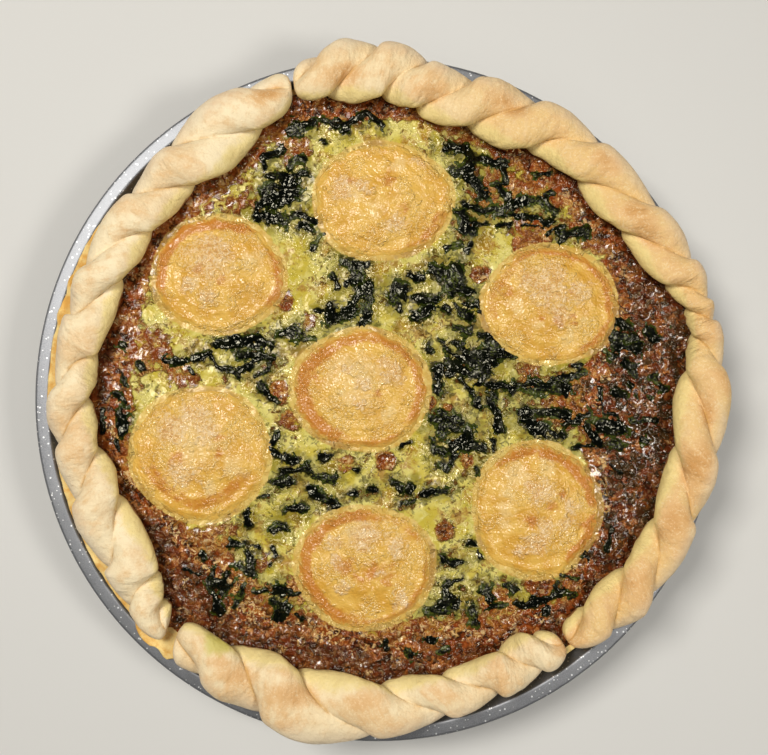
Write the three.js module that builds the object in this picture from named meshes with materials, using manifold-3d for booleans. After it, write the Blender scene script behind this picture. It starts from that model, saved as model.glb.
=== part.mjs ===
// A goat cheese and spinach tart in the round tin it was baked in.
// Millimetres, +Z up. The origin is the centre of the tin's underside.
import * as THREE from 'three';
import { mergeVertices } from 'three/addons/utils/BufferGeometryUtils.js';
import Module from 'manifold-3d';

const wasm = await Module();
wasm.setup();

// Tin: pressed steel with sloping sides and a flat rim whose outer edge is rolled.
const rimRadius = 150;
const rimWidth = 6.6;
const tinHeight = 38;
const tinBaseRadius = 124;
const tinSheet = 1.2;
const tinCorner = 5;
const rolledEdge = 1.4;
const tinSectors = 60;
const mouthRadius = rimRadius - rimWidth;

// Pastry case: a sheet of dough that lines the tin up to the rim. Its edge has shrunk away from the tin,
// but for a lip that still stands against it, and leans towards the upper right as the crust does.
const caseWall = 4.6;
const caseFloor = 4;
const caseShrink = 3.3;
const caseLean = 2.7;
const caseLeanAngle = 45;
const caseTopWidth = 2.4;
const caseTopSlope = 1.8;
const pieceGap = 0.3;
const pocketGap = 0.5;
const pocketReach = 12;
const caseSectors = 48;
const lipHeight = 1.8;
const lipStart = 148;
const lipEnd = 174;

// The crust was laid a little towards the upper right of the tin.
const crustCentre = new THREE.Vector2(3.9, 3.9);

// Filling: set custard, level with the tin's rim under the crust and uneven inside it.
const fillingLevel = tinHeight - 0.2;
const fillingOpenRadius = 112;
const fillingSwell = 0.7;
const fillingRings = 9;

// Twisted crust: two strands of dough turned round each other, sagged flat underneath.
const ropeBase = tinHeight + 0.4;
const ropeHeight = 12;
const ropeHeightPerWidth = 0.27;
const ropeSag = 0.38;
const strandRadius = 1.5;
const crossingSoftness = 0.35;
const notchDepth = 0.08;
const strandSag = 0.2;
const ropeSides = 12;
const ringsPerCrease = 5;
const endTaper = 3.2;

// Each crease between the two strands of a rope: the angles round the crust, in degrees, at which it
// leaves the rope's inner edge and its outer edge, how far its middle lies from the crust's centre, and
// half of the rope's width there. The rope's ends cut through the middle of its first and last crease.
const rightCreases = [
  [311.6, 298.2, 133.1, 7.1], [323, 313, 134.7, 11.8], [333.3, 322.3, 136.4, 10.8], [348.5, 336.8, 135.7, 11],
  [363.2, 348.3, 135.9, 12.6], [369.7, 363.7, 138.7, 8.4], [374.8, 372.4, 139.7, 6.5], [380, 376, 138.9, 7.7],
  [393.5, 383.5, 133.8, 11.5], [406.7, 393.7, 130.8, 12.6], [418.8, 408.8, 132.3, 11.9],
  [432, 422.5, 128.8, 13.5], [443.8, 434.3, 128.9, 12.7], [450.5, 442, 135.7, 13.7],
  [460.5, 451, 138.3, 13.9], [474.7, 461.1, 137.9, 8.8]];
const leftCreases = [
  [99.9, 115, 136.4, 8.6], [116.3, 131.6, 131.3, 14.9], [133.8, 142, 130.2, 11.1], [146.8, 158, 131.3, 11.6],
  [157.7, 165, 132.3, 11], [174.6, 179.3, 134.5, 9.2], [182.3, 189.3, 135.9, 10.8], [192, 199.5, 132.7, 11.9],
  [202.3, 211.5, 132.4, 12.9], [219.5, 220, 136.7, 8.9], [223.7, 240, 139.5, 8.3]];
const bottomCreases = [
  [213.6, 236.8, 138.9, 9.9], [240.3, 248.3, 136.4, 14.3], [253.8, 268, 138.8, 16], [270, 281, 134.5, 12],
  [282, 290.3, 132.1, 11], [294.5, 299.5, 129.7, 11.5], [301.7, 310.3, 132.9, 7.3]];

// Goat cheese rounds: centre x and y, half width along x and along y.
const cheeseRounds = [
  [2.4, 86.7, 30.1, 25.3], [-69.4, 54.5, 28.8, 25.5], [75.5, 41.3, 29.6, 25.7],
  [-7.1, 4.3, 30.1, 26.4], [-77.2, -23.9, 30.1, 29], [-5.4, -73.4, 30.1, 26.6],
  [69.5, -48.3, 27.5, 29.6]];
const cheeseDepth = 6;
const cheeseRim = 2.6;
const cheeseDome = 4.6;
const cheeseSectors = 20;

// Wilted spinach that lies in clumps on the custard: centre x and y, length, width and turn in degrees.
const spinachClumps = [
  [-42, 92, 26, 14, 36], [-35.8, 78.9, 16, 10, -10], [42.8, 105.5, 30, 14, -12], [43.6, 91.4, 12, 9, -68],
  [66.4, 81.5, 31, 12, -6], [-10.5, 45.5, 24, 15, 82], [32.8, 50.9, 21, 14, -32], [43, 17, 21, 12, 8],
  [-64.2, 19.6, 36, 14, -6], [73.4, 6.4, 24, 9, 2], [71.2, -7.6, 24, 10, -3], [102.6, -15, 15, 13, -20],
  [109, 26.9, 13, 9, 10], [-68.1, -84, 18, 14, -65], [-42.8, -88.4, 15, 12, -55],
  [39.3, -20.2, 20, 12, 20], [30.2, -88.6, 16, 12, 30]];
const clumpSunk = 1.4;
const clumpHeight = 2.2;
const clumpSectors = 10;

// Small leaf flecks baked into the custard's surface: centre x and y.
const leafFlecks = [
  [38.4, 77.6], [85.2, 71.9], [26.6, 9.9], [-23.1, -43.8], [-57.2, -74.4], [-15.6, 119], [-27, 118],
  [14.8, 34], [21, 41], [96, -22], [108, 8], [-56.4, 73.5]];
const fleckRadii = [3.6, 2.2, 1];

// Blisters that the custard bubbled into: how many, and the smallest and largest radius.
const blisterCount = 18;
const blisterRadii = [2.4, 4.2];
const blisterSeed = 11;

const colours = {
  tin: 0x8b8d8f, case: 0xb9742f, rope: 0xe6c48f, filling: 0xa08a48, cheese: 0xe3b566, spinach: 0x20281a };

// Vertices are shared, so that each piece is one closed surface.
function welded(geometry) {
  for (const name of ['normal', 'uv']) geometry.deleteAttribute(name);
  return mergeVertices(geometry, 1e-4);
}

// Moves every vertex of a closed surface by a function that changes the point it is given.
function shaped(geometry, move) {
  const surface = welded(geometry);
  const positions = surface.getAttribute('position');
  const point = new THREE.Vector3();
  for (let i = 0; i < positions.count; i++) {
    point.fromBufferAttribute(positions, i);
    move(point);
    positions.setXYZ(i, point.x, point.y, point.z);
  }
  return surface;
}

// A shape turned about +Z, from a profile of radius and height that starts and ends on the axis.
function turned(profile, segments, move = () => {}) {
  const points = profile.map(([radius, height]) => new THREE.Vector2(radius, height));
  const lathe = new THREE.LatheGeometry(points, segments).rotateX(Math.PI / 2);
  return shaped(lathe, move);
}

function toSolid(geometry) {
  const index = Array.from(geometry.index.array);
  const triangles = [];
  for (let i = 0; i < index.length; i += 3) {
    const [a, b, c] = index.slice(i, i + 3);
    if (a !== b && b !== c && c !== a) triangles.push(a, b, c);
  }
  return new wasm.Manifold(new wasm.Mesh({
    numProp: 3,
    vertProperties: new Float32Array(geometry.getAttribute('position').array),
    triVerts: new Uint32Array(triangles) }));
}

function toGeometry(solid) {
  const mesh = solid.getMesh();
  const positions = new Float32Array(mesh.numVert * 3);
  for (let i = 0; i < mesh.numVert; i++) {
    positions.set(mesh.vertProperties.subarray(i * mesh.numProp, i * mesh.numProp + 3), i * 3);
  }
  const geometry = new THREE.BufferGeometry();
  geometry.setAttribute('position', new THREE.BufferAttribute(positions, 3));
  geometry.setIndex(new THREE.BufferAttribute(new Uint32Array(mesh.triVerts), 1));
  return geometry;
}

function smoothstep(low, high, value) {
  return THREE.MathUtils.smoothstep(value, low, high);
}

// A column of a table, read between the rows as a smooth curve without overshoot, and straight on past
// the first and last row.
function between(rows, column, place) {
  const last = rows.length - 1;
  const value = (row) => {
    const nearest = THREE.MathUtils.clamp(row, 0, last);
    const inside = rows[nearest === 0 ? 1 : last - 1][column];
    return rows[nearest][column] + Math.abs(row - nearest) * (rows[nearest][column] - inside);
  };
  const slope = (row) => {
    const before = value(row) - value(row - 1);
    const after = value(row + 1) - value(row);
    return before * after > 0 ? 2 * before * after / (before + after) : 0;
  };
  const i = Math.floor(place);
  const t = place - i;
  const rise = t * t * (3 - 2 * t);
  return value(i) * (1 - rise) + value(i + 1) * rise
    + slope(i) * t * (1 - t) ** 2 - slope(i + 1) * t * t * (1 - t);
}

// How the custard's top rises and falls inside the ring of crust.
function fillingTop(x, y) {
  const reach = Math.hypot(x - crustCentre.x, y - crustCentre.y);
  const open = 1 - smoothstep(fillingOpenRadius - 8, fillingOpenRadius, reach);
  const waves = Math.sin(x / 9 + Math.sin(y / 17)) * Math.cos(y / 11 - x / 37) + 0.5 * Math.sin((x - 2 * y) / 15);
  const edge = smoothstep(fillingOpenRadius - 30, fillingOpenRadius - 10, reach);
  return fillingLevel + open * fillingSwell * (waves + 0.8 * edge);
}

// Turns a profile's local point into the tart's frame: stretched, turned and set down at a place.
function placed(point, [x, y, halfLength, halfWidth, turn = 0], height) {
  const angle = THREE.MathUtils.degToRad(turn);
  const along = point.x * halfLength;
  const across = point.y * halfWidth;
  point.set(
    x + along * Math.cos(angle) - across * Math.sin(angle),
    y + along * Math.sin(angle) + across * Math.cos(angle),
    height);
}

function tinGeometry() {
  const innerBase = tinBaseRadius - tinCorner;
  const bend = 0.29 * tinCorner;
  return turned([
    [0, 0], [innerBase, 0], [tinBaseRadius - bend, bend], [tinBaseRadius + 0.6, tinCorner],
    [mouthRadius + tinSheet - 0.8, tinHeight - 2.4], [mouthRadius + tinSheet + 1, tinHeight - tinSheet],
    [rimRadius - 2 * rolledEdge, tinHeight - tinSheet], [rimRadius - rolledEdge, tinHeight - 2 * rolledEdge],
    [rimRadius, tinHeight - rolledEdge],
    [rimRadius - rolledEdge, tinHeight], [mouthRadius + 1.2, tinHeight],
    [mouthRadius, tinHeight - 1], [tinBaseRadius - tinSheet + 0.6, tinCorner + 0.3],
    [tinBaseRadius - tinSheet - bend, tinSheet + bend], [innerBase - 0.3, tinSheet], [0, tinSheet]], tinSectors);
}

// The radii inside which the case fills the tin, and the filling the case.
const caseOuterBase = tinBaseRadius - tinCorner - 0.6;
const lipRadius = mouthRadius - 0.5;
const caseOuterTop = lipRadius - caseShrink;
const caseBottom = tinSheet + pieceGap;
const fillingBottom = caseBottom + caseFloor + pieceGap;

// Moves a point at the case's top edge the way that the case leans.
function lean(point) {
  if (point.z < tinHeight - 5) return;
  const reach = Math.hypot(point.x, point.y);
  const turn = Math.atan2(point.y, point.x) - THREE.MathUtils.degToRad(caseLeanAngle);
  const outwards = 1 + caseLean * Math.cos(turn) * reach / caseOuterTop ** 2;
  point.x *= outwards;
  point.y *= outwards;
}

function caseGeometry() {
  const standUp = (point) => {
    const upright = Math.hypot(point.x, point.y);
    lean(point);
    if (point.z < tinHeight - 4 || upright < caseOuterTop - 1.5) return;
    const angle = (THREE.MathUtils.radToDeg(Math.atan2(point.y, point.x)) + 360) % 360;
    const lip = smoothstep(lipStart - 5, lipStart, angle) - smoothstep(lipEnd, lipEnd + 5, angle);
    const reach = Math.hypot(point.x, point.y);
    const outwards = 1 + lip * (upright + caseShrink - reach) / reach;
    point.x *= outwards;
    point.y *= outwards;
    if (point.z > tinHeight - 0.5) point.z += lipHeight * lip;
  };
  return turned([
    [0, caseBottom], [caseOuterBase, caseBottom], [tinBaseRadius - tinSheet - 0.6, tinCorner + 0.8],
    [lipRadius - 7, tinHeight - 12], [caseOuterTop - 0.6, tinHeight - 2], [caseOuterTop, tinHeight - 0.4],
    [caseOuterTop - 0.9, tinHeight + 0.1], [caseOuterTop - caseTopWidth, tinHeight],
    [caseOuterTop - caseWall, tinHeight - caseTopSlope],
    [tinBaseRadius - caseWall - 1.8, tinCorner + caseFloor],
    [caseOuterBase - caseWall, caseBottom + caseFloor], [0, caseBottom + caseFloor]], caseSectors, standUp);
}

function facesReversed(surface) {
  const index = surface.index.array;
  for (let i = 0; i < index.length; i += 3) [index[i + 1], index[i + 2]] = [index[i + 2], index[i + 1]];
  return surface;
}

// The size of a number, but without a kink at nought, where one strand crosses over the other.
function softSize(value) {
  return Math.hypot(value, crossingSoftness);
}

// A rope of two strands along its creases. With direction 1 they run inwards as the angle grows, with
// -1 outwards, and the faces' diagonals follow them.
function ropeGeometry(creases, direction) {
  const count = creases.length - 1;
  const section = new THREE.Shape();
  for (let i = 0; i < ropeSides; i++) {
    const angle = 2 * Math.PI * i / ropeSides;
    if (i === 0) section.moveTo(1, 0);
    else section.lineTo(Math.cos(angle), Math.sin(angle));
  }
  const innerAngle = (place) => between(creases, 0, place - direction / 2);
  const outerAngle = (place) => between(creases, 1, place + direction / 2);
  const middleAngle = (place) => (innerAngle(place) + outerAngle(place)) / 2;
  const straight = new THREE.ExtrudeGeometry(section, {
    depth: count, steps: count * ringsPerCrease, bevelEnabled: false });
  const rope = shaped(straight, (point) => {
    const along = direction > 0 ? point.z : count - point.z;
    const place = THREE.MathUtils.clamp(along, 0, count);
    const around = Math.atan2(point.y, point.x);
    const turn = direction * Math.PI * place;
    const angle = around + turn;
    const strands = Math.abs(Math.cos(around)) + Math.sqrt(strandRadius ** 2 - Math.sin(around) ** 2);
    const fromStart = middleAngle(place) - middleAngle(0);
    const fromEnd = Math.min(fromStart, middleAngle(count) - middleAngle(place)) / endTaper;
    const taper = 0.3 + 0.7 * Math.sqrt(1 - (1 - Math.min(1, fromEnd)) ** 2);
    const halfWidth = between(creases, 3, place);
    const height = ropeHeight + ropeHeightPerWidth * 2 * halfWidth;
    const out = taper * halfWidth * (1 - notchDepth * Math.sin(turn) ** 2) * strands * Math.cos(angle)
      / (softSize(Math.cos(turn)) + strandRadius);
    const up = taper * height / 2 * (1 - strandSag * Math.cos(turn) ** 2) * strands * Math.sin(angle)
      / (softSize(Math.sin(turn)) + strandRadius);
    const reach = between(creases, 2, place) + out;
    const outwards = THREE.MathUtils.clamp(out / halfWidth, -1, 1);
    const round = THREE.MathUtils.degToRad(
      THREE.MathUtils.lerp(innerAngle(place), outerAngle(place), (1 + outwards) / 2));
    point.set(
      crustCentre.x + reach * Math.cos(round),
      crustCentre.y + reach * Math.sin(round),
      ropeBase + Math.max(0, up + ropeSag * height));
  });
  return direction > 0 ? facesReversed(rope) : rope;
}

// A round's outline is a little uneven, and no two rounds are alike.
function cheeseOutline(angle, number) {
  return 1 + 0.016 * Math.cos(3 * angle + number) + 0.012 * Math.sin(5 * angle + 2.3 * number);
}

function cheeseGeometry(round, number) {
  const rings = [
    [0, -cheeseDepth], [0.97, -cheeseDepth], [1, 1.4], [0.95, cheeseRim],
    [0.83, cheeseRim - 0.8], [0.62, cheeseDome - 1.2], [0.32, cheeseDome], [0, cheeseDome - 0.5]];
  return turned(rings, cheeseSectors, (point) => {
    const angle = Math.atan2(point.y, point.x);
    const outline = cheeseOutline(angle, number);
    const unevenness = 0.35 * Math.hypot(point.x, point.y) * Math.sin(2 * angle + 1.7 * number);
    const height = fillingLevel + point.z + (point.z > 0 ? unevenness : 0);
    point.x *= outline;
    point.y *= outline;
    placed(point, round, height);
  });
}

// The hollow that a sunken piece sits in: its outline with a gap all round, cut down from above.
function pocketGeometry(place, depth, sectors, outlineOf) {
  const [x, y, halfLength, halfWidth, turn] = place;
  const wide = [x, y, halfLength + pocketGap, halfWidth + pocketGap, turn];
  const profile = [[0, -depth - pieceGap], [1, -depth - pieceGap], [1, pocketReach], [0, pocketReach]];
  return turned(profile, sectors, (point) => {
    const outline = outlineOf(Math.atan2(point.y, point.x));
    point.x *= outline;
    point.y *= outline;
    placed(point, wide, fillingLevel + point.z);
  });
}

// A wilted leaf dries into a crumpled outline with a few blunt tips.
function leafOutline(angle, number) {
  return 1 + 0.2 * Math.sin(3 * angle + 1.9 * number) + 0.14 * Math.sin(5 * angle + 0.7 * number);
}

function clumpPlace([x, y, length, width, turn]) {
  return [x, y, length / 2, width / 2, turn];
}

function clumpGeometry(clump, number) {
  const profile = [
    [0, -clumpSunk], [0.96, -clumpSunk], [1, 0.5], [0.86, clumpHeight * 0.75], [0.45, clumpHeight],
    [0, clumpHeight * 0.85]];
  return turned(profile, clumpSectors, (point) => {
    const angle = Math.atan2(point.y, point.x);
    const crumple = 0.7 * Math.sin(4 * angle + number) * Math.hypot(point.x, point.y);
    const height = fillingLevel + point.z + (point.z > 0.6 ? crumple : 0);
    const outline = leafOutline(angle, number);
    point.x *= outline;
    point.y *= outline;
    placed(point, clumpPlace(clump), height);
  });
}

// A repeatable row of numbers from 0 to 1.
function seeded(seed) {
  let state = seed;
  return () => {
    state = (state * 1664525 + 1013904223) % 4294967296;
    return state / 4294967296;
  };
}

// Whether a spot on the custard is clear of every round, clump and fleck.
function clearOf(x, y, margin) {
  const free = ([px, py, a, b]) => Math.hypot((x - px) / (a + margin), (y - py) / (b + margin)) > 1;
  const clumpCircle = ([px, py, length]) => [px, py, length / 2, length / 2];
  const fleckCircle = ([px, py]) => [px, py, fleckRadii[0], fleckRadii[0]];
  return [...cheeseRounds, ...spinachClumps.map(clumpCircle), ...leafFlecks.map(fleckCircle)].every(free);
}

function blisters() {
  const random = seeded(blisterSeed);
  const found = [];
  while (found.length < blisterCount) {
    const angle = 2 * Math.PI * random();
    const reach = (fillingOpenRadius - 6) * Math.sqrt(random());
    const radius = THREE.MathUtils.lerp(blisterRadii[0], blisterRadii[1], random());
    const x = crustCentre.x + reach * Math.cos(angle);
    const y = crustCentre.y + reach * Math.sin(angle);
    const apart = found.every((other) => Math.hypot(x - other.x, y - other.y) > radius + other.radius + 1);
    if (clearOf(x, y, radius + 1) && apart) found.push({ x, y, radius });
  }
  return found;
}

function fillingGeometry() {
  const topRadius = caseOuterTop - caseTopWidth - pocketGap;
  const profile = [
    [0, fillingBottom], [caseOuterBase - caseWall - 1, fillingBottom],
    [tinBaseRadius - caseWall - 2.2, tinCorner + caseFloor + 0.6],
    [caseOuterTop - caseWall - pocketGap, tinHeight - caseTopSlope - 0.1], [topRadius, fillingLevel]];
  for (let ring = fillingRings - 1; ring >= 0; ring--) {
    profile.push([topRadius * ring / fillingRings, fillingLevel]);
  }
  const bare = turned(profile, caseSectors, (point) => {
    lean(point);
    if (point.z > fillingLevel - 0.01) point.z = fillingTop(point.x, point.y);
  });
  let solid = toSolid(bare);
  const addLump = (x, y, halfLength, halfWidth, halfHeight, turn) => {
    const lump = new THREE.SphereGeometry(1, 6, 4).rotateX(Math.PI / 2);
    lump.scale(halfLength, halfWidth, halfHeight).rotateZ(turn).translate(x, y, fillingTop(x, y));
    solid = solid.add(toSolid(welded(lump)));
  };
  for (const { x, y, radius } of blisters()) addLump(x, y, radius, radius, 0.45 * radius, 0);
  leafFlecks.forEach(([x, y], i) => addLump(x, y, ...fleckRadii, i));
  cheeseRounds.forEach((round, i) => {
    const outline = (angle) => cheeseOutline(angle, i);
    solid = solid.subtract(toSolid(pocketGeometry(round, cheeseDepth, cheeseSectors, outline)));
  });
  spinachClumps.forEach((clump, i) => {
    const outline = (angle) => leafOutline(angle, i);
    solid = solid.subtract(toSolid(pocketGeometry(clumpPlace(clump), clumpSunk, clumpSectors, outline)));
  });
  return toGeometry(solid);
}

function material(color, roughness, metalness = 0) {
  return new THREE.MeshStandardMaterial({ color, roughness, metalness });
}

const tart = new THREE.Group();
function addPiece(name, geometry, finish) {
  const mesh = new THREE.Mesh(geometry, finish);
  mesh.name = name;
  tart.add(mesh);
}

addPiece('pie_dish', tinGeometry(), material(colours.tin, 0.45, 0.6));
addPiece('pastry_case', caseGeometry(), material(colours.case, 0.85));
addPiece('filling', fillingGeometry(), material(colours.filling, 0.4));
addPiece('crust_rope_right', ropeGeometry(rightCreases, 1), material(colours.rope, 0.8));
addPiece('crust_rope_left', ropeGeometry(leftCreases, -1), material(colours.rope, 0.8));
addPiece('crust_rope_bottom', ropeGeometry(bottomCreases, -1), material(colours.rope, 0.8));
cheeseRounds.forEach((round, i) => {
  addPiece(`goat_cheese_${i + 1}`, cheeseGeometry(round, i), material(colours.cheese, 0.5));
});
spinachClumps.forEach((clump, i) => {
  addPiece(`spinach_${i + 1}`, clumpGeometry(clump, i), material(colours.spinach, 0.35));
});

export default tart;
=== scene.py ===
import itertools
import math

import bmesh
import bpy
import numpy
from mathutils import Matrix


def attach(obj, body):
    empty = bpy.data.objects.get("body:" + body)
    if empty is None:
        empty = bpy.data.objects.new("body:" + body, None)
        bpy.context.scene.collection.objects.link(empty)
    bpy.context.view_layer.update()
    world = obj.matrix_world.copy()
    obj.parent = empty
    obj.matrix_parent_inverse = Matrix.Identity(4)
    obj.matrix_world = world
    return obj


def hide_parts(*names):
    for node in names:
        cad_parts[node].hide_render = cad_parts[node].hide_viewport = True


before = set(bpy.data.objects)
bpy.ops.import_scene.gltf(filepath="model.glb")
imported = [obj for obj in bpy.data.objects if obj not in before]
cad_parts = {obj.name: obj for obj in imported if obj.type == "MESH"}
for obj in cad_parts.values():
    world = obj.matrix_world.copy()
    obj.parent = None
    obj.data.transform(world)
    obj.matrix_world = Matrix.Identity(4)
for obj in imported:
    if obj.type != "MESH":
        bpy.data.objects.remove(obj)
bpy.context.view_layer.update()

# The tin
# A round tart tin pressed from sheet steel, with sloping sides and a flat rim whose edge is
# rolled over. It has a grey metallic coat with a spatter of pale flecks.
RIM_RADIUS = 150.0
RIM_WIDTH = 6.6
TIN_HEIGHT = 38.0
TIN_BASE_RADIUS = 124.0
TIN_SHEET = 1.2
TIN_CORNER = 5.0
TIN_SIDES = 180
ROLLED_EDGE = 1.4
MOUTH_RADIUS = RIM_RADIUS - RIM_WIDTH


def tint(red, green, blue):
    """A colour as it looks on a screen, from 0 to 255, as the light that a shader needs."""
    screen = [part / 255 for part in (red, green, blue)]
    light = [part / 12.92 if part <= 0.04045 else ((part + 0.055) / 1.055) ** 2.4 for part in screen]
    return (*light, 1.0)


class Wire:
    """The output of a node. Sums that are written with it add Math nodes."""

    def __init__(self, finish, socket):
        self.finish = finish
        self.socket = socket

    def math(self, operation, *others):
        values = dict(enumerate((self,) + others))
        return self.finish.node("ShaderNodeMath", {"operation": operation}, values)

    def __add__(self, other):
        return self.math("ADD", other)

    def __sub__(self, other):
        return self.math("SUBTRACT", other)

    def __rsub__(self, other):
        return self.finish.node("ShaderNodeMath", {"operation": "SUBTRACT"}, {0: other, 1: self})

    def __mul__(self, other):
        return self.math("MULTIPLY", other)
    __radd__ = __add__
    __rmul__ = __mul__

    def between(self, low, high):
        """Rises smoothly from 0 at low to 1 at high."""
        limits = {"Value": self, "From Min": low, "From Max": high}
        return self.finish.node("ShaderNodeMapRange", {"interpolation_type": "SMOOTHSTEP"}, limits)


class Finish:
    """A material whose nodes are being joined up."""

    def __init__(self, name, **constants):
        self.material = bpy.data.materials.new(name)
        self.material.use_nodes = True
        self.tree = self.material.node_tree
        self.shader = self.tree.nodes["Principled BSDF"]
        for socket, value in constants.items():
            self.shader.inputs[socket.replace("_", " ")].default_value = value

    def node(self, kind, settings=None, sockets=None, output=0):
        """Adds a node, sets it and feeds its sockets, and gives one of its outputs."""
        made = self.tree.nodes.new(kind)
        for setting, value in (settings or {}).items():
            setattr(made, setting, value)
        for socket, value in (sockets or {}).items():
            self.feed(made.inputs[socket], value)
        return Wire(self, made.outputs[output])

    def feed(self, socket, value):
        """Joins an output to a socket, or sets the socket to a plain value."""
        if isinstance(value, Wire):
            self.tree.links.new(value.socket, socket)
        else:
            socket.default_value = value

    def place(self):
        """Where a point of the piece lies, in metres."""
        return self.node("ShaderNodeTexCoord", output="Object")

    def squeezed(self, place, share):
        """A place whose first axis is scaled, so that a pattern on it runs long, or short, that way."""
        return self.node("ShaderNodeMapping", sockets={"Vector": place, "Scale": (share, 1, 1)})

    def mottle(self, size, place=None, detail=2, roughness=0.5, output=0):
        """Random clouds about 0.5, with lumps of a size in millimetres."""
        sockets = {"Vector": place or self.place(), "Scale": 1000 / size, "Detail": detail,
                   "Roughness": roughness}
        return self.node("ShaderNodeTexNoise", {}, sockets, output)

    def warped(self, size, push):
        """Where a point lies, pushed about at random by up to some millimetres."""
        shift = self.node("ShaderNodeVectorMath", {"operation": "SUBTRACT"},
                          {0: self.mottle(size, output="Color"), 1: (0.5, 0.5, 0.5)})
        return self.node("ShaderNodeVectorMath", {"operation": "MULTIPLY_ADD"},
                         {0: shift, 1: (push / 500,) * 3, 2: self.place()})

    def bubbles(self, size, place=None, dimensions="2D"):
        """Cells of a size in millimetres: distance to the nearest middle, and that cell's own number."""
        sockets = {"Vector": place or self.place(), "Scale": 1000 / size}
        distance = self.node("ShaderNodeTexVoronoi", {"voronoi_dimensions": dimensions}, sockets)
        return distance, Wire(self, distance.socket.node.outputs["Color"])

    def mask(self, name, output="Fac"):
        """A number, or a vector, that the mesh carries at its points."""
        return self.node("ShaderNodeAttribute", {"attribute_name": name}, output=output)

    def blend(self, mask, below, above):
        """One colour where the mask is 0, and another where it is 1, new ones as tint takes them."""
        below, above = (value if isinstance(value, Wire) else tint(*value) for value in (below, above))
        return self.node("ShaderNodeMix", {"data_type": "RGBA"}, {0: mask, 6: below, 7: above}, 2)

    def layered(self, colour, *layers):
        """A colour with others laid over it in turn, each given after the mask of where it shows."""
        for mask, above in layers:
            colour = self.blend(mask, colour, above)
        return colour

    def bump(self, height, depth):
        """Low relief of a depth in millimetres for a height that goes from 0 to 1."""
        return self.node("ShaderNodeBump", {}, {"Height": height, "Distance": depth / 1000})

    def done(self, colour, roughness, normal):
        """Feeds the shader, and gives the finished material."""
        for socket, value in (("Base Color", colour), ("Roughness", roughness), ("Normal", normal)):
            self.feed(self.shader.inputs[socket], value)
        return self.material


def spun(profile, steps):
    """A closed skin turned about the tart's axis from a profile of radius and height."""
    skin = bmesh.new()
    points = [skin.verts.new((radius, 0, height)) for radius, height in profile]
    edges = [skin.edges.new(pair) for pair in zip(points, points[1:])]
    bmesh.ops.spin(skin, geom=points + edges, cent=(0, 0, 0), axis=(0, 0, 1), dvec=(0, 0, 0),
                   angle=math.tau, steps=steps, use_merge=True)
    bmesh.ops.remove_doubles(skin, verts=skin.verts, dist=0.001)
    bmesh.ops.recalc_face_normals(skin, faces=skin.faces)
    return skin


def piece(skin, name, material, nodes):
    """Makes an object from a skin in millimetres, and sets it into the frame."""
    mesh = bpy.data.meshes.new(name)
    bmesh.ops.scale(skin, vec=(0.001, 0.001, 0.001), verts=skin.verts)
    skin.to_mesh(mesh)
    skin.free()
    mesh.materials.append(material)
    mesh.shade_smooth()
    made = bpy.data.objects.new(name, mesh)
    bpy.context.scene.collection.objects.link(made)
    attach(made, "root")
    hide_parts(*nodes)
    return made


def arc(centre, radius, start, end, steps):
    """Points round a circle in a profile, between two angles in degrees."""
    angles = [math.radians(start + (end - start) * i / steps) for i in range(steps + 1)]
    return [(centre[0] + radius * math.cos(a), centre[1] + radius * math.sin(a)) for a in angles]


# The tin's section, from the middle of its underside out, round the rolled edge and back inside.
bend = TIN_CORNER * 0.9
tin_profile = [(0, 0), *arc((TIN_BASE_RADIUS - bend, bend), bend, -90, -12, 6),
               (MOUTH_RADIUS + TIN_SHEET - 0.5, TIN_HEIGHT - 3),
               (MOUTH_RADIUS + TIN_SHEET + 1.4, TIN_HEIGHT - TIN_SHEET),
               (RIM_RADIUS - 2.6 * ROLLED_EDGE, TIN_HEIGHT - TIN_SHEET),
               *arc((RIM_RADIUS - ROLLED_EDGE, TIN_HEIGHT - ROLLED_EDGE), ROLLED_EDGE, -150, 90, 12),
               (MOUTH_RADIUS + 1.5, TIN_HEIGHT),
               *arc((MOUTH_RADIUS + 1.2, TIN_HEIGHT - 1.2), 1.2, 90, 170, 4),
               (TIN_BASE_RADIUS - 0.4, TIN_CORNER + 0.4),
               (TIN_BASE_RADIUS - TIN_SHEET - bend, TIN_SHEET), (0, TIN_SHEET)]

coat = Finish("speckled_coat", Metallic=0.8)
grain = coat.mottle(0.35, roughness=0.6)
spots = []
for spacing, size in ((2.6, 0.13), (1.7, 0.14)):
    distance, lot = coat.bubbles(spacing, dimensions="3D")
    spots.append((1 - distance.between(size, size + 0.06)) * lot.between(0.5, 0.54))
flecks = spots[0].math("MAXIMUM", spots[1])
grey = coat.layered(
    coat.blend(grain.between(0.35, 0.65), (124, 125, 129), (158, 159, 163)),
    (coat.mottle(22, detail=3), (150, 151, 154)),
    (flecks, (246, 246, 246)))
coated = coat.done(grey, grain * 0.2 + 0.38, coat.bump(grain, 0.05))
piece(spun(tin_profile, TIN_SIDES), "tart_tin", coated, ["pie_dish"])

# The pastry case
# A sheet of dough that lines the tin up to its rim, baked golden brown. The rope of crust covers
# its edge, but on the left ragged golden lips of it show between rope and tin or hang over the rim.
CASE_WALL = 4.6
CASE_FLOOR = 4.0
PIECE_GAP = 0.3
CASE_SHRINK = 3.3
CASE_LEAN = 2.7
CASE_LEAN_ANGLE = 45.0
CASE_TOP_WIDTH = 2.4
CASE_TOP_SLOPE = 1.8
CASE_SIDES = 480
LEAN_DEPTH = 5.0
LIP_HEIGHT = 2.2
LIP_DEPTH = 4.0
LIP_WIDTH = 1.5
# Each lip of the case: where it starts and ends, in degrees, and how far it runs out over the rim.
CASE_LIPS = [(148, 184, 1.8), (190, 223, -0.2), (225.5, 231, 4.6)]
LIP_EASE = 4.0
lip_radius = MOUTH_RADIUS - 0.5
case_outer_top = lip_radius - CASE_SHRINK
case_outer_base = TIN_BASE_RADIUS - TIN_CORNER - 0.6
case_bottom = TIN_SHEET + PIECE_GAP


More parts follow.
